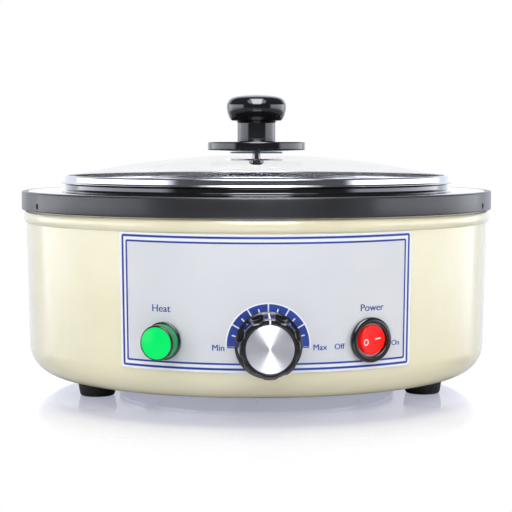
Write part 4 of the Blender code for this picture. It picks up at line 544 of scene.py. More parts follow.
# What builds each group, its inputs and its outputs
NODE_GROUPS = {
    "surface_skin": (
        surface_skin,
        {"Vector": "Vector", "Scale": "Float", "Smooth": "Float", "Rough": "Float"},
        {"Height": "Float", "Roughness": "Float"},
    ),
    "tone_drift": (
        tone_drift,
        {"Vector": "Vector", "Scale": "Float", "Tone": "Color", "Other Tone": "Color"},
        {"Color": "Color"},
    ),
    "edge_rub": (edge_rub, {"Vector": "Vector", "Width": "Float"}, {"Mask": "Float"}),
    "lathe_grooves": (lathe_grooves, {"Vector": "Vector", "Pitch": "Float"}, {"Height": "Float"}),
}


# Finishes


def plain_finishes():
    """By name: two tones, range of roughness, relief (scale per metre, depth), rubbed edge tone, metallic, coat."""
    paint = bpy.context.scene.bath_colours
    return {
        "cream_enamel": (paint.enamel, paint.enamel_shade, (0.16, 0.26), (700, 0.00004), None, 0.0, 0.6),
        "black_trim": (paint.trim, chart(33, 33, 36), (0.30, 0.40), (1500, 0.00003), chart(92, 92, 94), 0.0, 0.25),
        "black_anodised": (paint.pot, chart(32, 32, 34), (0.03, 0.06), (900, 0.000002), chart(80, 80, 82), 0.1, 1.0),
        "silicone": (chart(178, 206, 226), chart(150, 188, 214), (0.62, 0.75), (1200, 0.00003)),
        "glass_wool": (chart(226, 214, 150), chart(206, 190, 118), (0.9, 1.0), (420, 0.0009)),
        "polished_steel": (chart(214, 214, 217), chart(202, 203, 206), (0.07, 0.14), (300, 0.00001), None, 1.0),
        "plain_steel": (chart(172, 172, 175), chart(150, 150, 154), (0.28, 0.42), (900, 0.00003), None, 1.0),
        "galvanised": (chart(184, 188, 192), chart(160, 166, 172), (0.34, 0.52), (160, 0.00003), None, 1.0),
        "black_phenolic": (paint.knob, chart(26, 25, 27), (0.06, 0.12), (420, 0.00001), chart(84, 82, 84), 0.0, 0.5),
        "black_nylon": (chart(28, 28, 30), chart(36, 36, 38), (0.36, 0.48), (2600, 0.00006), chart(78, 78, 80)),
        "plate_edge": (paint.plate, chart(238, 241, 247), (0.48, 0.58), (900, 0.00001)),
        "plate_field": (paint.field, chart(217, 219, 224), (0.50, 0.60), (3400, 0.00001), None, 0.1),
        "print_blue": (paint.print, chart(38, 74, 172), (0.34, 0.46), (2600, 0.00001)),
        "print_white": (chart(250, 250, 252), chart(242, 243, 248), (0.34, 0.46), (2600, 0.00001)),
        "red_rocker": (paint.rocker, chart(206, 18, 16), (0.14, 0.22), (600, 0.00001), None, 0.0, 0.1),
        "brass": (chart(200, 164, 94), chart(176, 140, 78), (0.24, 0.38), (900, 0.00003), None, 1.0),
        "copper": (chart(196, 120, 84), chart(168, 96, 66), (0.24, 0.40), (900, 0.00003), None, 1.0),
        "ceramic": (chart(234, 228, 214), chart(222, 214, 196), (0.42, 0.56), (1400, 0.00005)),
        "foot_rubber": (chart(26, 26, 28), chart(36, 36, 37), (0.52, 0.68), (2400, 0.00009), chart(66, 66, 67)),
        "lead_cover": (chart(180, 42, 36), chart(158, 34, 30), (0.38, 0.50), (900, 0.00004)),
        "washer_steel": (chart(196, 197, 200), chart(176, 178, 182), (0.20, 0.30), (700, 0.00002), None, 1.0),
    }


def material(name):
    """The material of that finish, made on its first use."""
    found = bpy.data.materials.get("finish_" + name)
    if found:
        return found
    made = bpy.data.materials.new("finish_" + name)
    made.use_nodes = True
    tree = made.node_tree
    special = {
        "clear_glass": clear_glass,
        "bulb_glass": bulb_glass,
        "spun_aluminium": spun_aluminium,
        "green_lens": green_lens,
    }
    if name in special:
        special[name](tree, tree.nodes["Principled BSDF"])
        return made
    values = plain_finishes()[name]
    plain_finish(tree, *values)
    if name == "red_rocker":
        glow = {"Emission Color": (*chart(255, 24, 18), 1), "Emission Strength": 0.34, "Specular IOR Level": 0.2}
        feed(tree, tree.nodes["Principled BSDF"], glow)
    made.diffuse_color = (*values[0], 1)
    return made


def skin(tree, scale, depth, smooth, rough, place):
    """Relief and roughness patches, wired to the shader. Gives the relief's normal."""
    patches = {"Vector": place, "Scale": scale, "Smooth": smooth, "Rough": rough}
    surface = use_group(tree, "surface_skin", patches)
    bump = add_node(tree, "Bump", {"Strength": 0.6, "Distance": depth, "Height": surface["Height"]})["Normal"]
    feed(tree, tree.nodes["Principled BSDF"], {"Roughness": surface["Roughness"], "Normal": bump})
    return bump


def plain_finish(tree, tone, other, roughness, relief, rubbed=None, metallic=0.0, coat=0.0):
    """A finish with drifting tone, roughness patches, fine relief and rubbed edges."""
    place = add_node(tree, "TexCoord")["Object"]
    skin(tree, *relief, *roughness, place)
    drift = {"Vector": place, "Scale": 24.0, "Tone": (*tone, 1), "Other Tone": (*other, 1)}
    painted = use_group(tree, "tone_drift", drift)["Color"]
    if rubbed:
        mask = use_group(tree, "edge_rub", {"Vector": place, "Width": 0.0006})["Mask"]
        painted = mixed(tree, mask, painted, (*rubbed, 1))
    shine = {"Metallic": metallic, "Coat Weight": coat, "Coat Roughness": 0.06}
    feed(tree, tree.nodes["Principled BSDF"], {"Base Color": painted, **shine})


def clear_glass(tree, shader):
    """Clear lid glass with a faint cool tint and wiping marks."""
    body = {"Base Color": (*chart(252, 254, 255), 1), "Transmission Weight": 1.0, "IOR": 1.07, "Alpha": 0.06}
    feed(tree, shader, body)
    skin(tree, 60, 0.000004, 0.0, 0.05, add_node(tree, "TexCoord")["Object"])


def bulb_glass(tree, shader):
    """Thin frosted glass of the neon bulb."""
    feed(tree, shader, {"Base Color": (*chart(240, 244, 236), 1), "Transmission Weight": 0.7, "IOR": 1.45})
    skin(tree, 900, 0.00002, 0.10, 0.25, add_node(tree, "TexCoord")["Object"])


def about_axis(tree, axis):
    """Places as seen from a placement on the plate, whose Z points out of it."""
    seen = {"Vector": add_node(tree, "TexCoord")["Object"], "Location": axis.translation, "Rotation": axis.to_euler()}
    return add_node(tree, "Mapping", seen, vector_type="TEXTURE")["Vector"]


def spun_aluminium(tree, shader):
    """Aluminium faced off on a lathe: fine grooves round the dial's axis stretch its highlights across them."""
    place = about_axis(tree, on_plate(0, bpy.context.scene.bath_controls.dial_height))
    bump = skin(tree, 2600, 0.000002, 0.44, 0.50, place)
    grooves = use_group(tree, "lathe_grooves", {"Vector": place, "Pitch": 9000.0})["Height"]
    cut = {"Strength": 0.35, "Distance": 0.000004, "Height": grooves, "Normal": bump}
    surface = {
        "Metallic": 1.0,
        "Anisotropic": 0.9,
        "Anisotropic Rotation": 0.25,
        "Normal": add_node(tree, "Bump", cut)["Normal"],
        "Base Color": mixed(tree, grooves, (*chart(216, 216, 218), 1), (*chart(246, 246, 248), 1)),
        "Tangent": add_node(tree, "Tangent", direction_type="RADIAL", axis="Y")["Tangent"],
    }
    feed(tree, shader, surface)


def green_lens(tree, shader):
    """Lit green lens with a darker edge."""
    scene = bpy.context.scene
    edge = scene.bath_controls.lens
    place = about_axis(tree, on_plate(-scene.bath_controls.side_azimuth, scene.bath_controls.side_height))
    reach = smooth_step(tree, axis_distance(tree, place), edge * 0.92, edge * 0.99)
    surface = {
        "Base Color": (*scene.bath_colours.lens, 1),
        "Specular IOR Level": 0.15,
        "Emission Strength": 0.88,
        "Emission Color": mixed(tree, reach, (*chart(0, 243, 108), 1), (*chart(24, 120, 74), 1)),
    }
    feed(tree, shader, surface)
    skin(tree, 1300, 0.00002, 0.10, 0.20, place)


# Operators, one for each piece or group of like pieces


class BATH_OT_shell(bpy.types.Operator):
    """Draw the cream shell with its rolled bead and neck"""

    bl_idname = "bath.shell"
    bl_label = "Build Shell"
    bl_options = UNDOABLE

    def execute(self, context):
        s = context.scene.bath_shell
        high = s.radius + s.flare
        corner_z = s.base + s.corner
        bead_low = corner_z + s.side
        quarter = math.pi / 2
        ease = s.wall / 4
        inner = s.corner - s.wall
        centre = (s.radius - s.corner, corner_z)
        profile = [
            (high, neck_top(), ease),
            *arc((high, bead_low + s.bead / 2), (s.bead_proud, s.bead / 2), quarter, -quarter),
            *arc(centre, (s.corner, s.corner), 0, -quarter),
            (s.opening, s.base, ease), (s.opening, s.base + s.wall, ease),
            *arc(centre, (inner, inner), -quarter, 0),
            (high - s.wall, bead_low), (high - s.wall, neck_top(), ease),
        ]
        piece("shell", turned(profile, s.steps), "base", "cream_enamel", "body_shell")
        return {"FINISHED"}


class BATH_OT_trim(bpy.types.Operator):
    """Turn the black trim ring with its ledge, and set its three screws, with black slabs on their heads as painted
    shade of cross recesses
    """

    bl_idname = "bath.trim"
    bl_label = "Build Trim Ring"
    bl_options = UNDOABLE

    def execute(self, context):
        s = context.scene.bath_shell
        top = context.scene.bath_lid.deck
        inner = s.ring - s.ring_skirt
        land = s.ring - s.ring_land
        low = neck_top() - s.neck + 0.0005
        ledge = land - s.ring_ledge
        ledge_low = neck_top() + SEAT_GAP
        ledge_top = ledge_low + 0.0017
        ease, corner = 0.0002, 0.0009
        profile = [
            (land, top, ease), (s.ring, top, corner), (s.ring, low, corner), (inner, low, ease),
            (inner, ledge_low, ease), (ledge, ledge_low, ease), (ledge, ledge_top, ease), (land, ledge_top),
        ]
        ring = piece("trim_band", turned(profile, s.steps), "base", "black_trim", "trim_ring")
        places = {side: self.seat(f"trim_screw_{side}", inner) for side in ("left", "right", "rear")}
        self.drill(ring, places.values())
        for side, place in places.items():
            self.screw(side, place)
        return {"FINISHED"}

    def seat(self, name, inner):
        """Placement of a screw's seat, from the middle of its node."""
        low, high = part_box(name)
        middle = (low + high) / 2
        azimuth = math.atan2(middle.x, BATH_CENTRE_Y - middle.y)
        return facing_out(azimuth, inner + 0.0010, middle.z)

    def drill(self, ring, places):
        """Sinks the screws' seats into the ring's skirt."""
        radius, reach = 0.0018, 0.006
        bits = bmesh.new()
        for place in places:
            join(bits, turned([(0, reach), (radius, reach), (radius, 0), (0, 0)], 32, place))
        cutter = new_object("bits", bits)
        mesh = cutter.data
        sinking = ring.modifiers.new("seats", "BOOLEAN")
        sinking.operation = "DIFFERENCE"
        sinking.object = cutter
        drilled = evaluated(ring)
        ring.modifiers.clear()
        ring.data = drilled
        ring.data.set_sharp_from_angle(angle=SHARP_ANGLE)
        bpy.data.objects.remove(cutter)
        bpy.data.meshes.remove(mesh)

    def screw(self, side, place):
        """A domed head on its thread, with two crossed black slabs on top as painted shade of a cross recess."""
        head, core, end = 0.0015, 0.0009, -0.0032
        profile = [(0, 0.0008), (core, 0.0007), (head, 0.0002), (head, 0), (core, 0), (core, end), (0, end)]
        # Painted shade: two crossed black slabs on the steel head stand in for the dark cross recess, which is not cut.
        for turn in (0, math.pi / 2):
            slot = bmesh.new()
            bmesh.ops.create_cube(slot, size=1)
            bmesh.ops.scale(slot, vec=(0.0016, 0.00036, 0.0001), verts=slot.verts)
            bmesh.ops.translate(slot, vec=(0, 0, 0.00078), verts=slot.verts)
            bmesh.ops.rotate(slot, matrix=Matrix.Rotation(turn + 0.4, 3, "Z"), verts=slot.verts)
            name = f"painted_recess_shade_{side}_{int(turn)}"
            recess = piece(name, sealed(slot, place), "base", "black_trim", finish="black_nylon")
            recess.data.polygons.foreach_set("use_smooth", [False] * len(recess.data.polygons))
        piece(f"ring_screw_{side}", turned(profile, 32, place), "base", "plain_steel", f"trim_screw_{side}")


class BATH_OT_pot(bpy.types.Operator):
    """Turn the dark pot with its deck, raised rim and tapered well"""

    bl_idname = "bath.pot"
    bl_label = "Build Pot"
    bl_options = UNDOABLE

    def execute(self, context):
        s = context.scene.bath_lid
        shell = context.scene.bath_shell
        floor = s.rim - s.depth
        floor_under = floor - s.pot_wall
        floor_radius = s.rim_radius - s.rim_width - s.taper
        flange = shell.ring - shell.ring_land - 0.0004
        under = s.deck - 0.0017
        floor_ease, rim_ease, ease = 0.0095, 0.0008, 0.0004
        rise = (under - floor - floor_ease) / (s.rim - floor - floor_ease)
        wall_top = floor_radius + s.pot_wall + s.taper * rise + 0.0008
        boss_radius = 0.0090
        boss = floor_under - 0.0073
        hole_top = boss + 0.0065
        profile = [
            (0, floor), (floor_radius, floor, floor_ease),
            (s.rim_radius - s.rim_width, s.rim, rim_ease), (s.rim_radius, s.rim, rim_ease),
            (s.rim_radius, s.rim - 0.0035, 0.0010), (flange, s.deck, ease), (flange, under, ease),
            (wall_top, under, 0.0010), (floor_radius + s.pot_wall, floor_under, 0.0120),
            (boss_radius, floor_under, 0.0008), (boss_radius, boss, ease),
            (BOLT_HOLE, boss), (BOLT_HOLE, hole_top), (0, hole_top),
        ]
        piece("pot", turned(profile, shell.steps, ease_steps=8), "base", "black_anodised", "bath_pot")
        return {"FINISHED"}


class BATH_OT_lid(bpy.types.Operator):
    """Turn the glass dome, its rolled steel band and the washers that clamp the knob"""

    bl_idname = "bath.lid"
    bl_label = "Build Lid"
    bl_options = UNDOABLE

    def execute(self, context):
        s = context.scene.bath_lid
        steps = context.scene.bath_shell.steps
        low = s.rim + SEAT_GAP
        channel = s.rim_radius - s.band
        channel_z = low + s.band
        edge = channel - 0.0005
        crown = channel_z + SEAT_GAP + s.glass + s.rise
        sphere = (edge**2 + s.rise**2) / (2 * s.rise)

        def dome(radius):
            """Height of the dome's outer face at a radius."""
            return crown - (sphere - math.sqrt(sphere**2 - radius**2))

        hole, edge_ease = 0.0035, 0.0007
        outer = [(r, dome(r)) for r in (hole + (edge - hole) * i / 24 for i in range(25))]
        under = [(r, z - s.glass) for r, z in reversed(outer)]
        outer[-1] = (*outer[-1], edge_ease)
        under[0] = (*under[0], edge_ease)
        piece("dome", turned(outer + under, steps), "lid", "clear_glass", "lid_glass")
        skirt = s.rim_radius - s.rim_width - 0.0006
        skirt_low = low - 0.0028
        skirt_inner = skirt - s.band
        lip = channel - 0.0016
        lip_low = dome(lip) + SEAT_GAP
        lip_top = lip_low + s.band
        reach = s.rim_radius + s.flange
        flat, ease = 0.00028, 0.0002
        band = [
            (lip, lip_top, ease), (s.rim_radius, lip_top, 0.0009), (s.rim_radius, channel_z, 0.0006),
            (reach, channel_z, flat), (reach, low, flat), (skirt, low, 0.0005),
            (skirt, skirt_low, ease), (skirt_inner, skirt_low, ease), (skirt_inner, channel_z, ease),
            (channel, channel_z, ease), (channel, lip_low, 0.0003), (lip, lip_low, ease),
        ]
        piece("rim_band", turned(band, steps), "lid", "polished_steel", "lid_band")
        washer, sheet = 0.0160, 0.0008
        washer_low = dome(hole) + SEAT_GAP
        seal = [
            (washer, washer_low + sheet, 0.0003), (washer, washer_low, ease),
            (BOLT_HOLE, washer_low), (BOLT_HOLE, washer_low + sheet),
        ]
        piece("seal_washer", turned(seal, 64), "lid", "silicone", "lid_washer_outer")
        top = dome(washer) - s.glass - SEAT_GAP
        backing = [(washer, top, ease), (washer, top - sheet, ease), (BOLT_HOLE, top - sheet), (BOLT_HOLE, top)]
        bm = turned(backing, 64)
        piece("backing_washer", bm, "lid", "polished_steel", "lid_washer_inner", finish="washer_steel")
        return {"FINISHED"}


class BATH_OT_knob(bpy.types.Operator):
    """Turn the waisted knob and the flat heat guard below it"""

    bl_idname = "bath.knob"
    bl_label = "Build Lid Knob"
    bl_options = UNDOABLE

    def execute(self, context):
        s = context.scene.bath_lid
        guard_low, guard_high = (corner.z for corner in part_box("knob_guard"))
        knob_low, knob_high = (corner.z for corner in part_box("lid_knob"))
        hub = 0.0118
        edge_low = guard_low + 0.0009
        edge_top = edge_low + 0.0050
        guard = [
            (BOLT_HOLE, guard_high), (hub, guard_high, 0.0003), (hub, edge_top, 0.0007),
            (s.guard, edge_top, 0.0008), (s.guard, edge_low, 0.0006), (hub, guard_low, 0.0004), (BOLT_HOLE, guard_low),
        ]
        piece("heat_guard", turned(guard, 96), "lid", "black_phenolic", "knob_guard")
        foot = guard_high + 0.00004
        thread_top = knob_low + 0.0125
        cap_low = knob_low + 0.0108
        flank = 0.0104
        crease = cap_low + flank
        wide = s.cap + s.cap_flare
        rise = knob_high - crease
        knob = [(0, knob_high)]
        for share, climb, ease in ((0.38, 0.97, 0.0020), (0.70, 0.83, 0.0020), (0.90, 0.57, 0.0016)):
            knob.append((wide * share, crease + rise * climb, ease))
        for share, climb, ease in (
            (0.94, 1.0, 0.0006), (1.0, 0.83, 0.0012), (0.86, 0.50, 0.0016), (0.45, 0.16, 0.0012), (0.0, 0.0, 0.0007),
        ):
            knob.append((s.cap + s.cap_flare * share, cap_low + flank * climb, ease))
        knob += [
            (s.neck + 0.0009, cap_low, 0.0003), (s.neck, cap_low - 0.0009, 0.0007), (s.neck, foot, 0.00008),
            (BOLT_HOLE, foot), (BOLT_HOLE, thread_top), (0, thread_top),
        ]
        piece("grip_knob", turned(knob, 96, ease_steps=6), "lid", "black_phenolic", "lid_knob")
        return {"FINISHED"}


class BATH_OT_plate(bpy.types.Operator):
    """Lay the curved control plate with its silver field, blue frame lines, dial scale and words"""

    bl_idname = "bath.plate"
    bl_label = "Build Control Plate"
    bl_options = UNDOABLE

    def execute(self, context):
        s = context.scene.bath_controls
        middle = wall_radius(s.side_height)
        size = Vector((2 * s.plate_span * middle, s.plate_height))
        centre = (0, s.plate_low + s.plate_height / 2)
        lines = outline(size - Vector((0.0030, 0.0024)), centre, 0.0012, 0.0012)
        join(lines, outline(size - Vector((0.0080, 0.0082)), centre, 0.0010, 0.0010))
        join(lines, self.scale(s))
        join(lines, self.legends(middle))
        halo = ring_band(0.0220, 0.0228, (0, s.dial_height), -4, 184, 60)
        sheet = wrapped(panel(size, centre, 0.0016), -s.plate_sheet, 0)
        piece("curved_plate", sheet, "base", "printed_plate", "control_plate", finish="plate_edge")
        for name, bm, low, high, finish in (
            ("plate_field", panel(size - Vector((0.0090, 0.0092)), centre, 0.0010), 0, 1, "plate_field"),
            ("plate_print", lines, 1, 2, "print_blue"),
            ("plate_ticks", self.ticks(s), 2, 3, "print_white"),
            ("scale_edge", halo, 1, 5 / 3, "print_white"),
        ):
            bm = wrapped(bm, low * PRINT_LAYER, high * PRINT_LAYER)
            piece(name, bm, "base", "printed_plate", finish=finish)
        return {"FINISHED"}

    def scale(self, s):
        """Blue half ring over the dial, with a thin end line at each side."""
        band = ring_band(0.0150, 0.0220, (0, s.dial_height), -2.5, 182.5, 60)
        for side in (-1, 1):
            join(band, bar((0.0060, 0.0006), (side * 0.0190, s.dial_height - 0.0014)))
        return band

    def ticks(self, s):
        """White division lines every 15 degrees, long at every second one."""
        marks = bmesh.new()
        for i in range(1, 12):
            size, radius = (0.0030, 0.0185) if i % 2 else (0.0052, 0.0196)
            line = bar((size, 0.0007), (radius, 0))
            bmesh.ops.rotate(line, matrix=Matrix.Rotation(math.radians(15) * i, 3, "Z"), verts=line.verts)
            bmesh.ops.translate(line, vec=(0, s.dial_height, 0), verts=line.verts)
            join(marks, line)
        return marks

    def legends(self, middle):
        """Words beside the controls, each with its azimuth in degrees, its height and its letters' height."""
        found = bmesh.new()
        for text, azimuth, height, size in (
            ("Heat", -24.1, 0.0575, 0.0040),
            ("Power", 23.9, 0.0575, 0.0039),
            ("Min", -11.0, 0.0374, 0.0034),
            ("Max", 11.5, 0.0374, 0.0033),
            ("Off", 16.0, 0.0374, 0.0031),
            ("On", 30.3, 0.0374, 0.0030),
        ):
            join(found, words(text, size, (math.radians(azimuth) * middle, height)))
        return found


class BATH_OT_lamp(bpy.types.Operator):
    """Turn the indicator lamp's housing, its lit green lens and the lens's dark rim"""

    bl_idname = "bath.lamp"
    bl_label = "Build Lamp"
    bl_options = UNDOABLE

    def execute(self, context):
        s = context.scene.bath_controls
        place = on_plate(-s.side_azimuth, s.side_height)
        top = SEAT_GAP + 0.0018
        bore, barrel, collar = 0.0052, 0.0078, 0.0103
        bore_end, barrel_end = -0.0190, -0.0220
        housing = [
            (0, bore_end), (bore, bore_end), (bore, top, 0.0002), (collar, top, 0.0007),
            (collar, SEAT_GAP, 0.0002), (barrel, SEAT_GAP), (barrel, barrel_end, 0.0004), (0, barrel_end),
        ]
        piece("lamp_collar", turned(housing, 72, place), "base", "black_nylon", "lamp_housing", finish="black_phenolic")
        low = top + SEAT_GAP
        high = low + s.lens_depth
        wall = 0.0014
        inner, under = s.lens - wall, high - wall
        lens = [
            (0, high), (inner, high), (s.lens - 0.0004, high - 0.0004, 0.0006), (s.lens, high - 0.0020, 0.0008),
            (s.lens, low, 0.0002), (inner, low, 0.0002), (inner, under, 0.0005), (0, under),
        ]
        piece("lamp_cap", turned(lens, 72, place), "base", "green_lens", "lamp_lens")
        rim_inner, rim_low = s.lens - 0.0009, high - 0.0014
        rim = [
            (rim_inner, high + 0.00005), (s.lens - 0.0002, high - 0.0001, 0.0003),
            (s.lens + 0.00015, rim_low, 0.0003), (s.lens - 0.0006, rim_low), (rim_inner, high - 0.0004),
        ]
        piece("lamp_rim", turned(rim, 72, place), "base", "black_nylon", finish="black_phenolic")
        return {"FINISHED"}


class BATH_OT_dial(bpy.types.Operator):
    """Mould the fluted dial, press in its turned insert and paint its pointer"""

    bl_idname = "bath.dial"
    bl_label = "Build Dial"
    bl_options = UNDOABLE

    def execute(self, context):
        s = context.scene.bath_controls
        place = on_plate(0, s.dial_height)
        low = 0.0010
        skirt_top = low + 0.0024
        face = low + s.dial_depth
        seat = face - 0.0012
        cup = s.insert + SEAT_GAP
        hub, hub_top = 0.0095, low + 0.0042
        bore, bore_top = 0.0033, low + 0.0120
        shoulder, slack = 0.0012, 0.00001
        shares = [i / 6 for i in range(6, -1, -1)]
        flank = [(s.grip + (s.face - s.grip) * t, skirt_top + (face - skirt_top) * t) for t in shares]
        flank[0] = (*flank[0], 0.0008)
        flank[-1] = (*flank[-1], 0.0004)
        dial = [
            (0, seat), (cup, seat), (cup, face, 0.0002), *flank,
            (s.skirt, skirt_top, 0.0006), (s.skirt, low, 0.0003), (hub, low, 0.0003),
            (hub, hub_top), (bore, hub_top), (bore, bore_top), (0, bore_top),
        ]
        bm = turned(dial, 192, Matrix())
        for vert in bm.verts:
            radius = vert.co.xy.length
            if radius > s.insert + shoulder and vert.co.z > skirt_top - slack:
                share = min(1, (vert.co.z - skirt_top) / (face - skirt_top))
                edge = s.grip + (s.face - s.grip) * share
                if radius < edge + 2 * slack:
                    bearing = math.atan2(vert.co.x, vert.co.y)
                    vert.co.xy *= (radius - self.flute(s, bearing, edge)) / radius
        piece("dial_grip", placed(bm, place), "dial", "black_phenolic", "dial_knob")
        insert = [
            (0, face + 0.00012), (s.insert * 0.55, face + 0.00010), (s.insert - 0.0006, face + 0.00003),
            (s.insert, face - 0.0002, 0.0001), (s.insert, seat + SEAT_GAP), (0, seat + SEAT_GAP),
        ]
        piece("dial_disc", turned(insert, 128, place), "dial", "spun_aluminium", "dial_insert")
        width = 0.0008
        pointer = thickened(bar((width, 0.0024), (0, 0.0143)), face - 0.00001, face + 0.00004)
        stripe = bar((width, 1), (0, 0))
        for vert in stripe.verts:
            share = 0.5 - vert.co.y
            vert.co.y = s.face + (s.grip - s.face) * share
            vert.co.z = face + (skirt_top - face) * share - 0.0006 * (1 - share)
        bmesh.ops.translate(stripe, vec=(0, 0.00006, 0), verts=stripe.verts)
        pointer = placed(join(pointer, stripe), place)
        piece("dial_pointer", pointer, "dial", "printed_plate", finish="print_white")
        return {"FINISHED"}

    def flute(self, s, bearing, edge):
        """How deep the grip is cut at that bearing, where its uncut radius is that edge."""
        bit, blend = 0.0060, 0.0008
        distance = s.grip + 0.0039
        pitch = FULL_TURN / s.flutes
        off = (bearing - pitch / 2) % pitch
        off = min(off, pitch - off)
        across = distance * math.sin(off)
        wall = edge + 0.0010
        if across < bit:
            wall = distance * math.cos(off) - math.sqrt(bit**2 - across**2)
        share = max(0, blend - abs(wall - edge)) / blend
        return edge - (min(wall, edge) - share**2 * blend / 4)


class BATH_OT_switch(bpy.types.Operator):
    """Turn the switch's bezel and mould its round rocker with the ON and OFF marks"""

    bl_idname = "bath.switch"
    bl_label = "Build Switch"
    bl_options = UNDOABLE

    def execute(self, context):
        s = context.scene.bath_controls
        place = on_plate(s.side_azimuth, s.side_height)
        top = SEAT_GAP + 0.0024
        well, barrel = 0.0091, 0.0102
        well_end, barrel_end = -0.0092, -0.0172
        housing = [
            (0, well_end), (well, well_end), (well, top, 0.0005), (s.bezel, top, 0.0013),
            (s.bezel, SEAT_GAP, 0.0002), (barrel, SEAT_GAP), (barrel, barrel_end, 0.0005), (0, barrel_end),
        ]
        bm = turned(housing, 72, place)
        piece("switch_bezel", bm, "base", "black_nylon", "switch_housing", finish="black_phenolic")
        pin = 0.0015
        tipped = place @ Matrix.Translation((0, 0, -pin)) @ Matrix.Rotation(math.radians(9), 4, "Y")
        high, low = 0.0030 + pin, pin - 0.0062
        rings = [(s.rocker * i / 8, high) for i in range(8)]
        rocker = [*rings, (s.rocker, high, 0.0007), (s.rocker, low, 0.0003), (0, low)]
        bm = turned(rocker, 72, Matrix())
        for vert in bm.verts:
            if vert.co.z > pin:
                vert.co.z += self.hollow(s, vert.co.x)
        piece("rocker_button", placed(bm, tipped), "rocker", "red_rocker", "rocker")
        marks = ring_band(0.0012, 0.0018, (-0.0046, -0.0010), 0, 360, 32)
        join(marks, bar((0.0034, 0.0007), (0.0036, 0.0006), math.radians(10)))
        marks = thickened(marks, high, high + 0.00005)
        for vert in marks.verts:
            vert.co.z += self.hollow(s, vert.co.x)
        piece("rocker_marks", placed(marks, tipped), "rocker", "printed_plate", finish="print_white")
        return {"FINISHED"}

    def hollow(self, s, across):
        """How far the rocker's face lies below its rim at that distance across."""
        depth = 0.0012
        radius = (s.rocker**2 + depth**2) / (2 * depth)
        return radius - math.sqrt(radius**2 - across**2) - depth


class BATH_OT_feet(bpy.types.Operator):
    """Mould the three rubber feet"""

    bl_idname = "bath.feet"
    bl_label = "Build Feet"
    bl_options = UNDOABLE

    def execute(self, context):
        s = context.scene.bath_shell
        recess, hole = 0.0048, 0.0024
        for side in ("left", "right", "rear"):
            low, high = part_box(f"foot_{side}")
            middle = (low + high) / 2
            seat = low.z + 0.0040
            foot = [
                (s.foot_top, high.z, 0.0004), (s.foot_top - 0.0001, high.z - 0.0010),
                (s.foot_low + 0.0004, low.z + 0.0016), (s.foot_low, low.z, 0.0012),
                (recess, low.z, 0.0004), (recess, seat), (hole, seat), (hole, high.z),
            ]
            place = Matrix.Translation((middle.x, middle.y, 0))
            piece(f"rubber_foot_{side}", turned(foot, 64, place), "base", "foot_rubber", f"foot_{side}")
        return {"FINISHED"}


class BATH_OT_gland(bpy.types.Operator):
    """Turn the cord gland in the low rear wall"""

    bl_idname = "bath.gland"
    bl_label = "Build Cord Gland"
    bl_options = UNDOABLE

    def execute(self, context):
        height, top, end = 0.0340, SEAT_GAP + 0.0030, -0.0120
        bore, barrel, flange = 0.0040, 0.0062, 0.0088
        gland = [
            (bore, top, 0.0007), (flange, top, 0.0011), (flange, SEAT_GAP, 0.0002),
            (barrel, SEAT_GAP), (barrel, end, 0.0003), (bore, end, 0.0003),
        ]
        place = facing_out(math.pi, wall_radius(height), height, wall_tilt())
        piece("gland", turned(gland, 64, place), "base", "black_nylon", "cord_gland")
        return {"FINISHED"}


class BATH_OT_finishes(bpy.types.Operator):
    """Give every node that stays its finish"""

    bl_idname = "bath.finishes"
    bl_label = "Finish Other Pieces"
    bl_options = UNDOABLE

    def execute(self, context):
        slots = {part["node"]: part["material_slot"] for part in frame["record"]["subparts"]}
        for name, node in frame["nodes"].items():
            finish = {"printed_plate": "plate_edge"}.get(slots[name], slots[name])
            node.data.materials.clear()
            node.data.materials.append(material(finish))
        return {"FINISHED"}


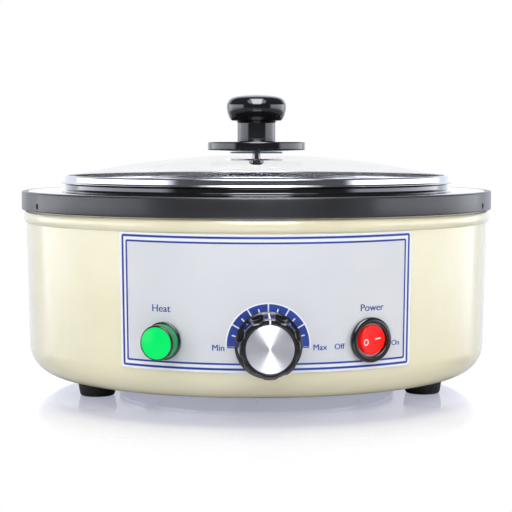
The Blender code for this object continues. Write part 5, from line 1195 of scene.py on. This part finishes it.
class BATH_OT_stage(bpy.types.Operator):
    """Set the pale floor, the soft lights, the room and the camera"""

    bl_idname = "bath.stage"
    bl_label = "Set Stage"
    bl_options = UNDOABLE

    def execute(self, context):
        scene = context.scene
        scene.view_settings.view_transform = "Standard"
        kept = set(frame["nodes"].values()) | set(frame["bodies"].values())
        for obj in list(bpy.data.objects):
            if obj not in kept and "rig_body" not in obj:
                bpy.data.objects.remove(obj)
        self.floor()
        self.room(scene)
        self.lights(scene)
        self.camera(scene)
        return {"FINISHED"}

    def floor(self):
        """A pale glossy floor that the camera sees fade to white just past the bath."""
        bm = bmesh.new()
        bmesh.ops.create_circle(bm, cap_ends=True, segments=96, radius=9.0)
        floor = new_object("floor", bm)
        made = bpy.data.materials.new("pale_floor")
        made.use_nodes = True
        tree = made.node_tree
        shader = tree.nodes["Principled BSDF"]
        gloss = {"Roughness": 0.05, "Coat Weight": 1.0, "Coat Roughness": 0.06}
        feed(tree, shader, {"Base Color": (0.52, 0.52, 0.55, 1), **gloss})
        seen = add_node(tree, "LightPath")["Is Camera Ray"]
        reach = add_node(tree, "VectorMath", {0: add_node(tree, "TexCoord")["Object"]}, operation="LENGTH")["Value"]
        fade_start, fade_end = 0.14, 0.26
        far = calculated(tree, "MULTIPLY", smooth_step(tree, reach, fade_start, fade_end), seen)
        share = calculated(tree, "MULTIPLY", seen, 0.42)
        lift = add_node(tree, "Emission", {"Color": (0.80, 0.82, 1.0, 1), "Strength": share})["Emission"]
        lit = add_node(tree, "AddShader", {0: shader.outputs["BSDF"], 1: lift})["Shader"]
        white = add_node(tree, "Emission", {"Strength": 1.0})["Emission"]
        blend = add_node(tree, "MixShader", {"Fac": far, 1: lit, 2: white})["Shader"]
        feed(tree, tree.nodes["Material Output"], {"Surface": blend})
        floor.data.materials.append(made)

    def room(self, scene):
        """A white room as camera and glass see it, softer as light, dark with bright panels where it is reflected."""
        scene.world = bpy.data.worlds.new("room")
        scene.world.use_nodes = True
        tree = scene.world.node_tree
        way = add_node(tree, "SeparateXYZ", {"Vector": add_node(tree, "TexCoord")["Generated"]})
        level = 0.12
        for gain, *edges in (
            (2.8, ("Y", -0.66, -0.50), ("Y", 0.74, 0.62), ("Z", -0.34, -0.16), ("Z", 0.24, 0.10)),
            (1.05, ("Y", 0.62, 0.74), ("Z", -0.40, -0.15)),
            (9.0, ("X", -0.32, -0.22), ("X", 0.32, 0.22), ("Z", 0.20, 0.42), ("Y", 0.10, -0.10)),
        ):
            patch = gain
            for axis, low, high in edges:
                patch = calculated(tree, "MULTIPLY", patch, smooth_step(tree, way[axis], low, high))
            level = calculated(tree, "ADD", level, patch)
        rays = add_node(tree, "LightPath")
        either = calculated(tree, "MAXIMUM", rays["Is Camera Ray"], rays["Is Transmission Ray"])
        plain = {"Value": either, "To Min": scene.bath_stage.room, "To Max": 1.0}
        glossy = rays["Is Glossy Ray"]
        strength = mixed(tree, glossy, add_node(tree, "MapRange", plain)["Result"], level, "FLOAT")
        tint = mixed(tree, glossy, (1, 1, 1, 1), (0.88, 0.91, 1.0, 1))
        feed(tree, tree.nodes["Background"], {"Strength": strength, "Color": tint})

    def lights(self, scene):
        """A large soft light above and one at each side."""
        s = scene.bath_stage
        for name, power, size, place in (
            ("top_light", s.key, (1.3, 0.8), (0.0, -0.75, 1.15)),
            ("left_light", s.side, (0.5, 1.1), (-1.15, -0.65, 0.45)),
            ("right_light", s.side, (0.5, 1.1), (1.15, -0.65, 0.45)),
        ):
            data = bpy.data.lights.new(name, "AREA")
            data.shape = "RECTANGLE"
            data.size, data.size_y = size
            data.energy = power
            light = bpy.data.objects.new(name, data)
            light.location = place
            light.visible_glossy = name == "top_light"
            aim = Vector((0, 0, 0.07)) - light.location
            light.rotation_euler = aim.to_track_quat("-Z", "Y").to_euler()
            scene.collection.objects.link(light)

    def camera(self, scene):
        """The camera at the photograph's viewing angle."""
        s = scene.bath_stage
        data = bpy.data.cameras.new("camera")
        data.lens = s.lens
        data.shift_y = s.shift
        data.clip_start = 0.05
        data.clip_end = 50.0
        camera = bpy.data.objects.new("camera", data)
        camera.location = polar(s.azimuth, s.distance, s.height)
        camera.rotation_euler = (math.pi / 2 - s.tilt, 0, s.azimuth + s.turn)
        scene.collection.objects.link(camera)
        scene.camera = camera


class BATH_PT_pieces(bpy.types.Panel):
    """Sizes, colours and pieces of the flotation bath"""

    bl_label = "Flotation Bath"
    bl_idname = "BATH_PT_pieces"
    bl_space_type = "VIEW_3D"
    bl_region_type = "UI"
    bl_category = "Flotation Bath"

    def draw(self, context):
        for owner in GROUPS:
            group = getattr(context.scene, owner)
            box = self.layout.box()
            for key in group.bl_rna.properties.keys():
                if key not in ("rna_type", "name"):
                    box.prop(group, key)
        for operator in OPERATORS:
            self.layout.operator(operator.bl_idname)


GROUPS = {
    "bath_shell": BathShell,
    "bath_lid": BathLid,
    "bath_controls": BathControls,
    "bath_colours": BathColours,
    "bath_stage": BathStage,
}
OPERATORS = (
    BATH_OT_stage,
    BATH_OT_finishes,
    BATH_OT_shell,
    BATH_OT_trim,
    BATH_OT_pot,
    BATH_OT_lid,
    BATH_OT_knob,
    BATH_OT_plate,
    BATH_OT_lamp,
    BATH_OT_dial,
    BATH_OT_switch,
    BATH_OT_feet,
    BATH_OT_gland,
)


def register():
    """Registers the sizes, operators and panel."""
    for cls in (*GROUPS.values(), *OPERATORS, BATH_PT_pieces):
        bpy.utils.register_class(cls)
    for name, cls in GROUPS.items():
        setattr(bpy.types.Scene, name, PointerProperty(type=cls))


def unregister():
    """Removes what register added."""
    for name in GROUPS:
        delattr(bpy.types.Scene, name)
    for cls in reversed((*GROUPS.values(), *OPERATORS, BATH_PT_pieces)):
        bpy.utils.unregister_class(cls)


def main():
    """Builds every piece and the stage."""
    register()
    bpy.ops.bath.stage()
    bpy.ops.bath.finishes()
    bpy.ops.bath.shell()
    bpy.ops.bath.trim()
    bpy.ops.bath.pot()
    bpy.ops.bath.lid()
    bpy.ops.bath.knob()
    bpy.ops.bath.plate()
    bpy.ops.bath.lamp()
    bpy.ops.bath.dial()
    bpy.ops.bath.switch()
    bpy.ops.bath.feet()
    bpy.ops.bath.gland()


if __name__ == "__main__":
    main()
